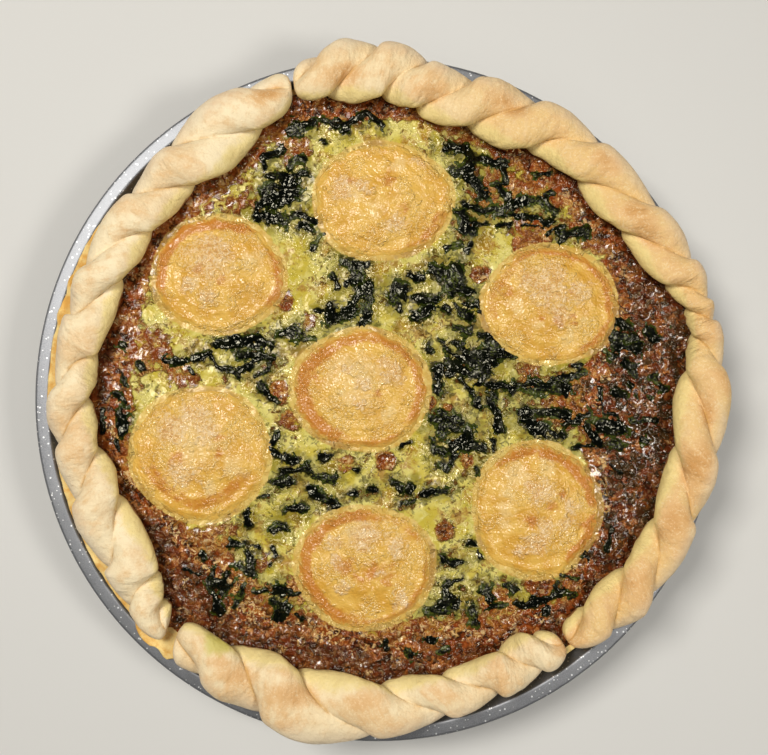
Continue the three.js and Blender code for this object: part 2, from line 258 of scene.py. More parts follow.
def smoothstep(low, high, value):
    """Rises smoothly from 0 where the value is low to 1 where it is high."""
    share = numpy.clip((value - low) / (high - low), 0, 1)
    return share * share * (3 - 2 * share)


def hashed(cell_x, cell_y, cell_z, seed):
    """A number from 0 to 1 for each cell of a lattice, the same on every run."""
    mixed = cell_x * 73856093 ^ cell_y * 19349663 ^ cell_z * 83492791 ^ seed * 2654435761
    mixed = (mixed ^ (mixed >> 13)) * 1274126177 & 0xFFFFFFFF
    mixed = (mixed ^ (mixed >> 16)) * 668265263 & 0xFFFFFFFF
    return mixed / 0xFFFFFFFF


def ripple(points, size, seed=0, octaves=1):
    """Smooth random waves from about -1 to 1 at rows of points, of a size in the points' units."""
    total = numpy.zeros(len(points))
    strength = 1.0
    for octave in range(octaves):
        scaled = numpy.asarray(points) / size * 2 ** octave
        cell = numpy.floor(scaled).astype(numpy.int64)
        share = smoothstep(0, 1, scaled - cell)
        wave = numpy.zeros(len(points))
        for corner in itertools.product((0, 1), repeat=3):
            weight = numpy.prod(numpy.where(corner, share, 1 - share), axis=1)
            wave += weight * hashed(*(cell + corner).T, seed + octave)
        total += strength * (2 * wave - 1)
        strength *= 0.5
    return total


def places(skin):
    """The points of a skin as rows of x, y and z."""
    return numpy.array([vertex.co[:] for vertex in skin.verts])


def polar(rows):
    """How far points lie from the axis, and at which angle in radians."""
    return numpy.hypot(rows[:, 0], rows[:, 1]), numpy.arctan2(rows[:, 1], rows[:, 0])


def moved(skin, rows):
    """Moves the points of a skin to rows of x, y and z."""
    for vertex, row in zip(skin.verts, rows.tolist()):
        vertex.co = row


def carry(made, **masks):
    """Gives a mesh's points numbers or vectors for its finish to read, and 0 to those left over."""
    for name, values in masks.items():
        kind, field = ("FLOAT", "value") if values.ndim == 1 else ("FLOAT_VECTOR", "vector")
        filled = numpy.zeros((len(made.data.vertices), *values.shape[1:]), dtype=numpy.float32)
        filled[:len(values)] = values
        made.data.attributes.new(name, kind, "POINT").data.foreach_set(field, filled.ravel())


def leant(radius, turn):
    """How far out a point of the case's top lies once it leans with the crust, by angle in radians."""
    lean = CASE_LEAN * numpy.cos(turn - math.radians(CASE_LEAN_ANGLE))
    return radius + lean * (radius / case_outer_top) ** 2


case_profile = [(0, case_bottom), (case_outer_base, case_bottom),
                (TIN_BASE_RADIUS - TIN_SHEET - 0.6, TIN_CORNER + 0.8), (lip_radius - 7, TIN_HEIGHT - 12),
                (case_outer_top - 0.5, TIN_HEIGHT - 2.5), (case_outer_top - 0.1, TIN_HEIGHT - 1),
                *arc((case_outer_top - 0.9, TIN_HEIGHT - 0.7), 0.8, 0, 110, 5),
                (case_outer_top - CASE_TOP_WIDTH, TIN_HEIGHT),
                (case_outer_top - CASE_WALL, TIN_HEIGHT - CASE_TOP_SLOPE),
                (TIN_BASE_RADIUS - CASE_WALL - 1.8, TIN_CORNER + CASE_FLOOR),
                (case_outer_base - CASE_WALL, case_bottom + CASE_FLOOR), (0, case_bottom + CASE_FLOOR)]
case_skin = spun(case_profile, CASE_SIDES)
rows = places(case_skin)
upright, turn = polar(rows)
bearing = numpy.degrees(turn) % 360
reach = numpy.where(rows[:, 2] > TIN_HEIGHT - LEAN_DEPTH, leant(upright, turn), upright)
edge = (rows[:, 2] > TIN_HEIGHT - LIP_DEPTH) & (upright > case_outer_top - LIP_WIDTH)
above_rim = edge * (rows[:, 2] > TIN_HEIGHT - 0.6)
for first, final, overlap in CASE_LIPS:
    lip = smoothstep(first - LIP_EASE, first, bearing) - smoothstep(final, final + LIP_EASE, bearing)
    lip = edge * lip
    out_over = overlap * above_rim * (0.7 + 0.4 * ripple(rows, 5, 5, 2))
    reach += lip * (upright + CASE_SHRINK - 0.25 * (1 + ripple(rows, 3, 4)) + out_over - reach)
    rows[:, 2] += lip * above_rim * (LIP_HEIGHT - 0.4 + 0.4 * ripple(rows, 4, 3, 2))
rows[:, :2] *= (reach / numpy.maximum(upright, 1))[:, None]
moved(case_skin, rows)

pastry = Finish("case_pastry", Specular_IOR_Level=0.3)
baked = pastry.mottle(6, detail=4, roughness=0.6)
flaky = pastry.mottle(1.1, detail=3, roughness=0.6)
golden = pastry.blend(baked.between(0.4, 0.64), (246, 216, 142), (226, 172, 84))
case_finish = pastry.done(golden, 0.75, pastry.bump(flaky, 0.4))
piece(case_skin, "pastry_case_fine", case_finish, ["pastry_case"])

# The custard
# Egg custard with spinach, poured into the case and baked. It is yellow-green and smooth in the
# middle, and at the crust it has boiled up into a dark, sticky ring of burst bubbles.
CRUST_CENTRE = (3.9, 3.9)
FILLING_LEVEL = TIN_HEIGHT - 0.2
OPEN_RADIUS = 112.0
SWELL = 0.7
BROWNING_SOFTNESS = 9.0
LEAF_MARGIN = 9.0
EDGE_RISE = 0.75
CASE_OVERLAP = 2.5
# Each round of cheese: its middle, and half its size across and down the photograph.
CHEESE_ROUNDS = [
    (2.4, 86.7, 30.1, 25.3), (-69.4, 54.5, 28.8, 25.5), (75.5, 41.3, 29.6, 25.7),
    (-7.1, 4.3, 30.1, 26.4), (-77.2, -23.9, 30.1, 29.0), (-5.4, -73.4, 30.1, 26.6),
    (69.5, -48.3, 27.5, 29.6)]
CHEESE_DEPTH = 6.0
FINE_REACH = 141.0
FINE_STEP = 0.72
# The photograph's pixels to a millimetre, one of its pixels, and where that lies in millimetres.
PIXELS = 2.29
KNOWN_PIXEL = (384, 377.5)
KNOWN_PLACE = (3.06, 9.67)
# How far the custard reaches under the crust, from the crust's centre, by angle in degrees.
UNDER_CRUST = [
    (0, 131), (8, 139), (16, 138), (24, 132), (35, 128), (60, 126), (75, 124), (90, 130), (104, 135),
    (116, 130), (130, 127), (160, 129), (175, 133), (192, 133), (205, 129), (220, 133), (227, 141),
    (232, 134), (245, 130), (255, 133), (270, 131), (300, 127), (306, 133), (345, 130)]
# How far from the crust's centre the browning begins, by angle in degrees.
BROWNING = [
    (0, 85), (8, 92), (15, 101), (30, 111), (45, 109), (60, 113), (75, 116), (82, 123), (90, 121),
    (105, 125), (112, 124), (120, 118), (127, 114), (135, 113), (150, 114), (165, 114), (175, 110),
    (187, 114), (195, 116), (210, 106), (225, 102), (240, 107), (255, 103), (270, 102), (285, 105),
    (300, 114), (312, 117), (318, 107), (330, 103), (345, 90), (352, 84)]
# Browned spots away from the ring: pixel of the photograph, radius in pixels and strength.
SPOTS = [
    (280, 391, 12, 0.7), (291, 420, 11, 0.6), (385, 461, 10, 0.8), (345, 465, 9, 0.6), (431, 402, 6, 0.7),
    (285, 302, 10, 0.7), (480, 274, 10, 0.7), (519, 245, 9, 0.7), (443, 532, 10, 0.7), (540, 583, 15, 0.9),
    (467, 461, 8, 0.7), (447, 407, 5, 0.6), (570, 400, 32, 0.5), (530, 372, 16, 0.4), (500, 190, 30, 0.45),
    (530, 235, 22, 0.5), (240, 195, 24, 0.4), (296, 150, 18, 0.45), (150, 350, 24, 0.55),
    (182, 376, 18, 0.45), (215, 545, 24, 0.55), (240, 600, 28, 0.5), (300, 592, 18, 0.45),
    (500, 602, 20, 0.6), (600, 400, 34, 0.6), (120, 405, 16, 0.6), (263, 566, 10, 0.4),
    (310, 320, 10, 0.35), (466, 225, 12, 0.4), (330, 112, 14, 0.3)]
# Wilted leaves: the two ends of each as pixels of the photograph, and its width in pixels.
LEAVES = [
    (344, 127, 364, 114, 8), (368, 114, 382, 124, 6), (323, 119, 341, 123, 8), (291, 131, 311, 123, 10),
    (318, 139, 327, 145, 3), (263, 154, 282, 151, 8), (263, 154, 265, 165, 7), (291, 166, 296, 157, 8),
    (296, 157, 305, 158, 7), (267, 176, 287, 175, 8), (287, 182, 305, 172, 10), (258, 206, 273, 187, 9),
    (271, 194, 291, 190, 18), (278, 204, 288, 198, 10), (256, 215, 280, 218, 12), (285, 222, 297, 212, 8),
    (297, 212, 314, 221, 8), (301, 226, 311, 229, 8), (311, 248, 323, 234, 5), (349, 261, 358, 268, 14),
    (370, 258, 365, 269, 6), (444, 146, 466, 148, 10), (466, 148, 473, 160, 9), (473, 160, 504, 161, 10),
    (456, 171, 471, 163, 10), (471, 176, 481, 195, 14), (497, 184, 506, 196, 10), (505, 162, 506, 180, 7),
    (484, 209, 512, 205, 8), (512, 205, 538, 199, 8), (538, 199, 557, 210, 8), (497, 212, 519, 216, 7),
    (519, 216, 550, 220, 7), (497, 225, 508, 226, 6), (520, 226, 542, 225, 3), (460, 212, 470, 230, 12),
    (463, 204, 482, 209, 8), (477, 224, 486, 222, 5), (446, 248, 457, 244, 8), (466, 251, 471, 245, 5),
    (535, 173, 551, 173, 6), (545, 195, 553, 192, 7), (548, 232, 566, 227, 5), (563, 238, 585, 231, 12),
    (411, 278, 419, 277, 9), (400, 290, 405, 293, 10), (433, 272, 446, 275, 14), (446, 275, 452, 287, 16),
    (452, 287, 469, 293, 14), (458, 269, 463, 282, 12), (417, 297, 434, 299, 8), (415, 316, 430, 308, 10),
    (442, 308, 448, 310, 5), (454, 305, 459, 307, 5), (467, 304, 479, 303, 6), (462, 313, 470, 316, 10),
    (482, 310, 486, 316, 6), (452, 329, 467, 332, 5), (467, 332, 472, 326, 4), (454, 342, 461, 344, 8),
    (483, 335, 495, 335, 10), (492, 343, 492, 352, 16), (466, 352, 496, 354, 14), (461, 360, 490, 361, 12),
    (481, 366, 484, 367, 12), (491, 364, 480, 385, 7), (439, 366, 437, 390, 9), (446, 360, 462, 373, 9),
    (447, 372, 488, 371, 9), (429, 345, 432, 353, 5), (440, 336, 446, 348, 4), (446, 348, 457, 358, 4),
    (461, 381, 473, 394, 5), (475, 400, 476, 405, 7), (490, 385, 506, 387, 9), (511, 390, 519, 389, 8),
    (488, 402, 500, 415, 8), (500, 415, 500, 428, 8), (493, 395, 495, 399, 6), (431, 421, 461, 420, 9),
    (442, 414, 454, 427, 9), (443, 424, 443, 436, 9), (432, 439, 432, 454, 6), (436, 451, 443, 452, 10),
    (468, 431, 466, 446, 12), (453, 446, 466, 440, 12), (466, 444, 481, 447, 14), (480, 450, 482, 453, 8),
    (492, 439, 494, 449, 5), (454, 455, 450, 462, 6), (443, 466, 445, 468, 10), (476, 468, 477, 471, 7),
    (401, 446, 409, 444, 3), (395, 483, 399, 487, 9), (409, 486, 411, 490, 8), (425, 494, 445, 491, 8),
    (401, 504, 415, 501, 5), (370, 489, 375, 489, 7), (351, 494, 356, 496, 6), (356, 468, 360, 470, 5),
    (614, 336, 636, 338, 11), (619, 323, 630, 328, 8), (618, 346, 638, 347, 12), (606, 352, 612, 358, 8),
    (624, 363, 636, 367, 7), (554, 379, 584, 372, 8), (520, 386, 566, 388, 12), (574, 364, 580, 366, 6),
    (560, 384, 566, 395, 7), (600, 389, 602, 397, 6), (602, 397, 607, 418, 2.5), (615, 393, 623, 397, 10),
    (520, 413, 565, 414, 10), (527, 420, 542, 432, 14), (566, 422, 588, 416, 10), (603, 427, 622, 429, 13),
    (611, 416, 616, 416, 5), (614, 443, 620, 447, 9), (589, 427, 600, 443, 7), (577, 447, 591, 445, 6),
    (553, 434, 565, 435, 9), (635, 420, 657, 419, 6), (655, 378, 662, 389, 8), (650, 331, 656, 338, 8),
    (675, 325, 683, 342, 6), (611, 466, 621, 473, 5), (636, 396, 637, 398, 5), (648, 396, 650, 398, 4),
    (628, 382, 631, 385, 6), (634, 372, 636, 376, 6), (165, 361, 183, 362, 7), (192, 358, 208, 355, 8),
    (208, 355, 224, 369, 5), (224, 369, 240, 376, 5), (215, 343, 231, 341, 8), (231, 341, 268, 343, 10),
    (240, 353, 270, 356, 9), (236, 374, 248, 366, 6), (248, 366, 259, 358, 6), (253, 376, 270, 369, 5),
    (270, 369, 272, 360, 5), (191, 369, 193, 374, 5), (259, 386, 276, 403, 6), (284, 332, 300, 333, 12),
    (300, 333, 315, 341, 4), (354, 257, 355, 280, 12), (368, 286, 364, 324, 11), (361, 290, 352, 305, 8),
    (352, 309, 332, 321, 12), (331, 307, 335, 322, 9), (331, 276, 337, 288, 7), (348, 283, 348, 286, 4),
    (397, 289, 394, 298, 12), (396, 298, 399, 311, 8), (317, 311, 322, 312, 6), (266, 447, 280, 431, 5),
    (267, 449, 286, 457, 7), (286, 457, 298, 461, 7), (272, 484, 284, 472, 7), (284, 472, 307, 472, 8),
    (321, 457, 328, 459, 5), (317, 476, 336, 478, 8), (309, 465, 314, 470, 5), (273, 483, 289, 481, 7),
    (258, 497, 271, 494, 3), (249, 510, 248, 527, 6), (288, 511, 304, 510, 8), (309, 489, 322, 499, 9),
    (320, 498, 333, 506, 11), (274, 531, 284, 526, 8), (232, 545, 244, 545, 8), (255, 549, 258, 550, 4),
    (200, 553, 203, 557, 8), (247, 555, 254, 574, 8), (239, 568, 250, 576, 9), (213, 569, 210, 583, 7),
    (210, 583, 219, 611, 9), (214, 582, 226, 586, 14), (228, 574, 222, 594, 7), (245, 586, 232, 608, 6),
    (254, 590, 265, 588, 3), (273, 590, 281, 591, 10), (285, 588, 292, 592, 5), (277, 603, 283, 613, 13),
    (283, 603, 277, 618, 9), (289, 598, 299, 594, 5), (183, 572, 200, 574, 4), (297, 616, 301, 618, 5),
    (274, 550, 274, 557, 4), (270, 564, 272, 567, 4), (443, 560, 462, 563, 7), (467, 545, 479, 545, 5),
    (478, 552, 480, 558, 4), (447, 584, 446, 600, 9), (440, 606, 450, 598, 15), (426, 611, 446, 612, 9),
    (454, 606, 458, 610, 7), (452, 583, 463, 579, 4), (485, 589, 489, 596, 10), (509, 587, 513, 590, 9),
    (474, 610, 475, 622, 11), (494, 607, 505, 605, 8), (518, 602, 520, 607, 5), (430, 638, 433, 642, 8),
    (438, 653, 448, 649, 6), (386, 644, 388, 648, 5), (406, 654, 410, 657, 7), (521, 606, 545, 599, 7),
    (545, 599, 563, 591, 7), (550, 606, 548, 616, 7), (556, 584, 559, 588, 5), (569, 596, 574, 597, 7),
    (561, 577, 577, 578, 5), (611, 530, 608, 548, 6), (579, 548, 583, 551, 6), (586, 556, 588, 558, 5),
    (568, 562, 570, 566, 5), (120, 345, 125, 349, 8), (140, 363, 142, 369, 6), (121, 373, 123, 385, 4),
    (116, 393, 124, 403, 5), (103, 412, 100, 430, 7), (123, 414, 122, 434, 11), (117, 444, 119, 448, 6),
    (291, 511, 296, 513, 5), (640, 441, 646, 443, 8), (502, 352, 508, 356, 6), (496, 359, 513, 358, 3)]


def from_photo(across, down):
    """Where a pixel of the photograph lies on the custard, in millimetres."""
    return (KNOWN_PLACE[0] + (across - KNOWN_PIXEL[0]) / PIXELS,
            KNOWN_PLACE[1] + (KNOWN_PIXEL[1] - down) / PIXELS)


def from_centre(rows):
    """How far points lie from the crust's centre, and at which angle in degrees."""
    reach, turn = polar(rows[:, :2] - CRUST_CENTRE)
    return reach, numpy.degrees(turn) % 360


def by_angle(table, bearing):
    """What a table of angles and values gives for each angle, in degrees."""
    return numpy.interp(bearing, *zip(*table), period=360)


def cheese_outline(angle, number):
    """No two rounds are alike: the outline's reach at an angle, about 1."""
    return 1 + 0.016 * numpy.cos(3 * angle + number) + 0.012 * numpy.sin(5 * angle + 2.3 * number)


def cheese_share(rows, number):
    """How far points lie out from the middle of a round, 1 being its edge."""
    x, y, half_x, half_y = CHEESE_ROUNDS[number]
    across = (rows[:, 0] - x) / half_x
    along = (rows[:, 1] - y) / half_y
    return numpy.hypot(across, along) / cheese_outline(numpy.arctan2(along, across), number)


def on_cheese(rows, share):
    """Whether points lie on any of the rounds, less than a share of the way out."""
    return numpy.any([cheese_share(rows, number) < share for number in range(len(CHEESE_ROUNDS))], axis=0)


def cheese_tilt(angle, number):
    """How much higher or lower a round's edge lies at an angle, in millimetres."""
    return 0.35 * numpy.sin(2 * angle + 1.7 * number)


def leaf_share(rows, leaf):
    """How far points lie from a leaf's midline, 1 being its edge, and how far along and across it."""
    start = numpy.array(from_photo(*leaf[0:2]))
    run = numpy.array(from_photo(*leaf[2:4])) - start
    length = numpy.hypot(*run) + 1e-6
    offset = rows[:, :2] - start
    along = offset @ run / length
    across = offset @ (-run[1], run[0]) / length
    beyond = along - numpy.clip(along, 0, length)
    return numpy.hypot(beyond, across) / (leaf[4] / PIXELS / 2), along, across


def cells(rows, size, seed, keep):
    """Distance to the nearest of scattered points, in cells, with that point's own random number."""
    scaled = rows[:, :2] / size
    nearest = numpy.full(len(rows), 9.0)
    chosen = numpy.zeros(len(rows))
    for step in itertools.product((-1, 0, 1), repeat=2):
        cell = numpy.floor(scaled).astype(numpy.int64) + step
        spot = [cell[:, i] + 0.15 + 0.7 * hashed(cell[:, 0], cell[:, 1], i, seed) for i in (0, 1)]
        lot = hashed(cell[:, 0], cell[:, 1], 2, seed)
        distance = numpy.hypot(scaled[:, 0] - spot[0], scaled[:, 1] - spot[1])
        distance = numpy.where(lot < keep, distance, 9.0)
        chosen = numpy.where(distance < nearest, lot / keep, chosen)
        nearest = numpy.minimum(nearest, distance)
    return nearest, chosen


def custard_level(rows):
    """The slow rise and fall of the custard's top, in millimetres."""
    x, y = rows[:, 0], rows[:, 1]
    reach, _ = from_centre(rows)
    clear = 1 - smoothstep(OPEN_RADIUS - 8, OPEN_RADIUS, reach)
    waves = numpy.sin(x / 9 + numpy.sin(y / 17)) * numpy.cos(y / 11 - x / 37)
    waves += 0.5 * numpy.sin((x - 2 * y) / 15)
    edge = smoothstep(OPEN_RADIUS - 30, OPEN_RADIUS - 10, reach)
    return FILLING_LEVEL + clear * SWELL * (waves + 0.8 * edge)


def browning(rows):
    """How far the custard has browned, from 0 to 1, before its fine edges."""
    reach, bearing = from_centre(rows)
    start = by_angle(BROWNING, bearing)
    reach += 3 * ripple(rows * (1, 1, 0), 14, 5, 2)
    brown = smoothstep(start - BROWNING_SOFTNESS, start + BROWNING_SOFTNESS, reach)
    for across, down, radius, strength in SPOTS:
        spot = numpy.hypot(*(rows[:, :2] - from_photo(across, down)).T) / (radius / PIXELS)
        brown = numpy.maximum(brown, strength * (1 - smoothstep(0.5, 1.5, spot)))
    return brown


def leaf_cover(rows):
    """How deep points lie under the leaves, below 0 being off them, and where they lie in their leaf."""
    ragged = rows * (1, 1, 0)
    push = [1.3 * ripple(ragged, 4.6, seed) + 0.6 * ripple(ragged, 1.6, seed) for seed in (71, 72)]
    ragged[:, :2] += numpy.column_stack(push)
    cover = numpy.full(len(rows), -3.0)
    lie = ragged.copy()
    for number, leaf in enumerate(LEAVES):
        ends = numpy.array([from_photo(*leaf[0:2]), from_photo(*leaf[2:4])])
        lowest, highest = ends.min(axis=0) - LEAF_MARGIN, ends.max(axis=0) + LEAF_MARGIN
        near = numpy.all((ragged[:, :2] > lowest) & (ragged[:, :2] < highest), axis=1)
        near = numpy.flatnonzero(near)
        share, along, across = leaf_share(ragged[near], leaf)
        share /= 1.12 + 0.4 * ripple(numpy.column_stack([along, 0 * along, 0 * along + 5 * number]), 3.0, 79)
        nearer = 1 - share > cover[near]
        near = near[nearer]
        cover[near] = 1 - share[nearer]
        lie[near] = numpy.column_stack([along[nearer], across[nearer], numpy.full(len(near), 17.0 * number)])
    return cover, lie


# Where the browned custard foamed up pale, by angle in degrees and from 0 to 1.
FOAMING = [
    (0, 0.35), (45, 0.2), (90, 0.45), (135, 0.3), (180, 0.1), (205, 0.3), (218, 0.9), (235, 0.9),
    (270, 1.0), (300, 0.6), (330, 0.4)]
# Where chopped leaves are baked into the browned custard, by angle in degrees and from 0 to 1.
LEAFY_RING = [
    (0, 1.0), (22, 0.5), (40, 0.35), (90, 0.3), (120, 0.15), (200, 0.2), (230, 0.5), (270, 0.4), (300, 0.2),
    (325, 0.7)]
# Burst bubbles in the custard: spacing, share that is there, and height, with a seed for each size.
BUBBLES = [(5.0, 0.4, 0.8, 21), (3.2, 0.5, 0.5, 22), (2.1, 0.45, 0.3, 23)]


def custard_top(rows, brown, leafy):
    """The custard's height with its lumps, burst bubbles and the rise round cheese and leaves."""
    flat = rows * (1, 1, 0)
    height = custard_level(rows) + 0.28 * ripple(flat, 6, 1, 3)
    height += 0.3 * leafy - 0.12 * numpy.abs(ripple(flat, 2.6, 2, 2))
    for size, keep, rise, seed in BUBBLES:
        distance, lot = cells(rows, size, seed, keep)
        edge = distance / (0.28 + 0.16 * lot)
        dome = numpy.sqrt(numpy.clip(1 - edge ** 2, 0, 1))
        burst = 1 - 0.85 * (lot > 0.5) * numpy.clip(1 - edge / 0.65, 0, 1)
        height += rise * dome * burst * (0.1 + 0.9 * brown) * (1 - 0.8 * leafy)
    return height


def flat_grid(reach, step):
    """A square grid about the crust's centre, and the middles of its faces."""
    grid = bmesh.new()
    segments = int(2 * reach / step)
    bmesh.ops.create_grid(grid, x_segments=segments, y_segments=segments, size=reach)
    bmesh.ops.translate(grid, vec=(*CRUST_CENTRE, 0), verts=grid.verts)
    return grid, numpy.array([face.calc_center_median()[:] for face in grid.faces])


def cut_away(grid, unwanted):
    """Deletes the faces that a row of true and false marks."""
    grid.faces.ensure_lookup_table()
    bmesh.ops.delete(grid, geom=[grid.faces[i] for i in numpy.flatnonzero(unwanted)], context="FACES")


def drawn_on(skin, edges):
    """Extrudes edges, and gives the new edges and the new points."""
    drawn = bmesh.ops.extrude_edge_only(skin, edges=edges)["geom"]
    return ([part for part in drawn if isinstance(part, bmesh.types.BMEdge)],
            [part for part in drawn if isinstance(part, bmesh.types.BMVert)])


# The top: a fine grid, cut away where crust, case and cheese take its place, then given its relief.
skin, middles = flat_grid(FINE_REACH, FINE_STEP)
filling_top_radius = case_outer_top - CASE_TOP_WIDTH - 0.5
reach, bearing = from_centre(middles)
from_middle, turn = polar(middles)
past_case = from_middle > leant(case_outer_top, turn) - 1
cut_away(skin, (reach > by_angle(UNDER_CRUST, bearing)) | past_case | on_cheese(middles, 0.92))
rows = places(skin)
flat = rows * (1, 1, 0)
brown = browning(rows)
leafy, _ = leaf_cover(rows)
rows[:, 2] = custard_top(rows, brown, smoothstep(-1.2, 0.2, leafy))
reach, bearing = from_centre(rows)
foamy = by_angle(FOAMING, bearing)
mixed = by_angle(LEAFY_RING, bearing)
rim = smoothstep(6, 13, reach - by_angle(BROWNING, bearing))
near_cheese = numpy.zeros(len(rows))
melting = numpy.zeros(len(rows))
level_edge = FILLING_LEVEL + EDGE_RISE + 0.45 * ripple(flat, 5, 9, 2)
for number, (x, y, half_x, half_y) in enumerate(CHEESE_ROUNDS):
    share = cheese_share(rows, number)
    near = 1 - smoothstep(0.99, 1.16, share)
    angle = numpy.arctan2((rows[:, 1] - y) / half_y, (rows[:, 0] - x) / half_x)
    rows[:, 2] += near * (level_edge + cheese_tilt(angle, number) - rows[:, 2])
    near_cheese = numpy.maximum(near_cheese, near)
    melting = numpy.maximum(melting, 1 - smoothstep(1.0, 1.1, share))
edge_browned = smoothstep(-0.3, 0.8, ripple(flat, 16, 10) + 0.7 * brown - 0.2)
from_middle, turn = polar(rows)
over_case = from_middle - leant(filling_top_radius, turn)
resting = FILLING_LEVEL + 0.5 * smoothstep(-CASE_OVERLAP, 0, over_case)
rows[:, 2] = numpy.where(over_case > -CASE_OVERLAP, numpy.maximum(rows[:, 2], resting), rows[:, 2])
moved(skin, rows)

# The sides, drawn down from the top's outer edge inside the case, and from its holes under the cheese.
fine_count = len(skin.verts)
hollow_edges, side_edges = [], []
for edge in [edge for edge in skin.edges if edge.is_boundary]:
    middle = (edge.verts[0].co + edge.verts[1].co) / 2
    outer = math.hypot(middle.x - CRUST_CENTRE[0], middle.y - CRUST_CENTRE[1]) > OPEN_RADIUS + 6
    (side_edges if outer else hollow_edges).append(edge)
# Each step down inside the case: radius, height, and whether it leans as the case does.
CUSTARD_SIDE = [
    (None, FILLING_LEVEL + 0.3, True), (filling_top_radius, FILLING_LEVEL + 0.25, True),
    (filling_top_radius, FILLING_LEVEL - 0.05, True),
    (case_outer_top - CASE_WALL - 0.5, TIN_HEIGHT - CASE_TOP_SLOPE - 0.1, True),
    (TIN_BASE_RADIUS - CASE_WALL - 2.2, TIN_CORNER + CASE_FLOOR + 0.6, False),
    (case_outer_base - CASE_WALL - 1, case_bottom + CASE_FLOOR + PIECE_GAP, False)]
for radius, height, leans in CUSTARD_SIDE:
    side_edges, points = drawn_on(skin, side_edges)
    for vertex in points:
        turn = math.atan2(vertex.co.y, vertex.co.x)
        out_to = vertex.co.xy.length if radius is None else leant(radius, turn) if leans else radius
        vertex.co = (out_to * math.cos(turn), out_to * math.sin(turn), height)
hollow_edges, points = drawn_on(skin, hollow_edges)
for vertex in points:
    vertex.co.z = FILLING_LEVEL - CHEESE_DEPTH - PIECE_GAP
bmesh.ops.holes_fill(skin, edges=side_edges + hollow_edges, sides=0)
bmesh.ops.recalc_face_normals(skin, faces=skin.faces)
brown = numpy.append(brown, numpy.ones(len(skin.verts) - fine_count))

custard = Finish("custard", Specular_Tint=(1, 0.9, 0.7, 1), Coat_Roughness=0.12)
pushed = custard.warped(3.0, 2.4)
broad = custard.mottle(10)
lumps = custard.mottle(3.4, pushed)
fine = custard.mottle(1.2, pushed)
broad_shift = broad - 0.5
lump_shift = lumps - 0.5
fine_shift = fine - 0.5
edge_brown = custard.mask("browned") + broad_shift * 0.9 + lump_shift * 1.3
amber = edge_brown.between(0.2, 0.46)
dark = edge_brown.between(0.4, 0.72)

# Egg that is pale in places and warm in others, flecked with leaf, with whitish curls where it split.
pale = (custard.mottle(7, pushed, 1) + fine_shift * 0.15).between(0.42, 0.62)
warm = (custard.mottle(13, pushed, 1) * 0.6 + lumps * 0.4 + fine_shift * 0.3).between(0.48, 0.62)
green = custard.mask("leafy") + lump_shift * 2.6 + fine_shift * 1.4
specks = (fine_shift * 1.3 + broad_shift * 1.2 + lump_shift).between(0.3, 0.42)
chopped = custard.mottle(2.4, pushed, roughness=0.6) * 0.6 + custard.mottle(10, detail=1) * 0.4
chopped = chopped + green.between(-3, 0) * 0.06
curls = 1 - lump_shift.math("ABSOLUTE").between(0.01, 0.04)
crumbly = (custard.mottle(9, detail=1) + fine_shift * 0.4).between(0.48, 0.6)
eggy = custard.layered(
    custard.blend(broad.between(0.4, 0.6), (194, 173, 58), (208, 192, 94)),
    (pale * 0.75, (216, 204, 118)),
    (warm * 0.75, (156, 104, 36)),
    (green.between(-2.6, -0.8) * 0.6, (98, 92, 20)),
    (green.between(-0.4, 0.1) * 0.9, (26, 26, 8)),
    (specks * 0.6, (116, 68, 24)),
    (chopped.between(0.55, 0.62) * 0.65, (64, 62, 16)),
    (curls * crumbly * 0.7, (230, 212, 146)))

# The sticky ring, darker next to the crust with syrup and painted shade from the rope, with pale grains of
# foam and chopped leaf.
caramel = custard.blend(lumps.between(0.42, 0.58), (172, 110, 44), (104, 54, 20))
caramel = custard.blend(fine.between(0.54, 0.64) * 0.5, caramel, (200, 148, 74))
glassy = (custard.mottle(7.5, pushed, roughness=0.6) + fine_shift * 0.25).between(0.49, 0.6)
glass = custard.blend(fine.between(0.45, 0.6), (142, 72, 26), (190, 118, 54))
by_crust = custard.mask("rim")
# Partly painted shade: a darker maroon band next to the crust, partly dark syrup and partly the rope's shade
# on the custard.
syrup_and_rope_shade = (by_crust + lump_shift * 1.2 + (custard.mottle(13, detail=1) - 0.5) * 1.6).between(0.7, 1.1)
foam = custard.mask("foamy") * 0.35 + (custard.mottle(8) - 0.5) * 2.2
foam = (foam + fine_shift * 0.5 - by_crust * 0.4).between(0.05, 0.4)
sticky = custard.layered(
    custard.blend(lumps.between(0.4, 0.62), (52, 17, 6), (138, 63, 21)),
    (glassy * 0.85, glass),
    (syrup_and_rope_shade * 0.6, (66, 22, 12)))
for size, strength in ((1.6, 0.8), (2.9, 0.7)):
    distance, lot = custard.bubbles(size, pushed)
    middle = 1 - distance.between(0.18, 0.46)
    sticky = custard.layered(
        sticky,
        (middle * lot.between(0.5, 0.54) * (foam * 0.8 + 0.08) * strength, (190, 136, 72)),
        (middle * lot.between(0.62, 0.64) * (foam * 0.85 + 0.1) * strength, (236, 204, 146)))
leaf_bits = (custard.mottle(2.6, pushed) * 0.6 + custard.mottle(9, detail=1) * 0.4).between(0.48, 0.53)
sticky = custard.blend(leaf_bits * custard.mask("mixed") * 0.85, sticky, (30, 28, 10))

rings = []
for spacing, low in ((4.6, 0.24), (3.1, 0.22)):
    distance, lot = custard.bubbles(spacing, pushed)
    ring = distance.between(low, low + 0.08) * (1 - distance.between(low + 0.1, low + 0.2))
    rings.append(ring * lot.between(0.58, 0.62))
rings = rings[0].math("MAXIMUM", rings[1]) * foam
melted = (custard.mask("melting") + lump_shift * 1.1 + fine_shift * 0.5).between(0.4, 0.7)
edge_line = custard.mask("edged") + lump_shift * 0.9
colour = custard.layered(
    eggy,
    (amber, caramel),
    (dark, sticky),
    (rings * amber * 0.8, (218, 172, 100)),
    (melted * 0.85, custard.blend(lumps.between(0.4, 0.6), (206, 164, 80), (222, 190, 108))),
    (edge_line.between(0.55, 1.0) * 0.5, (128, 72, 28)))

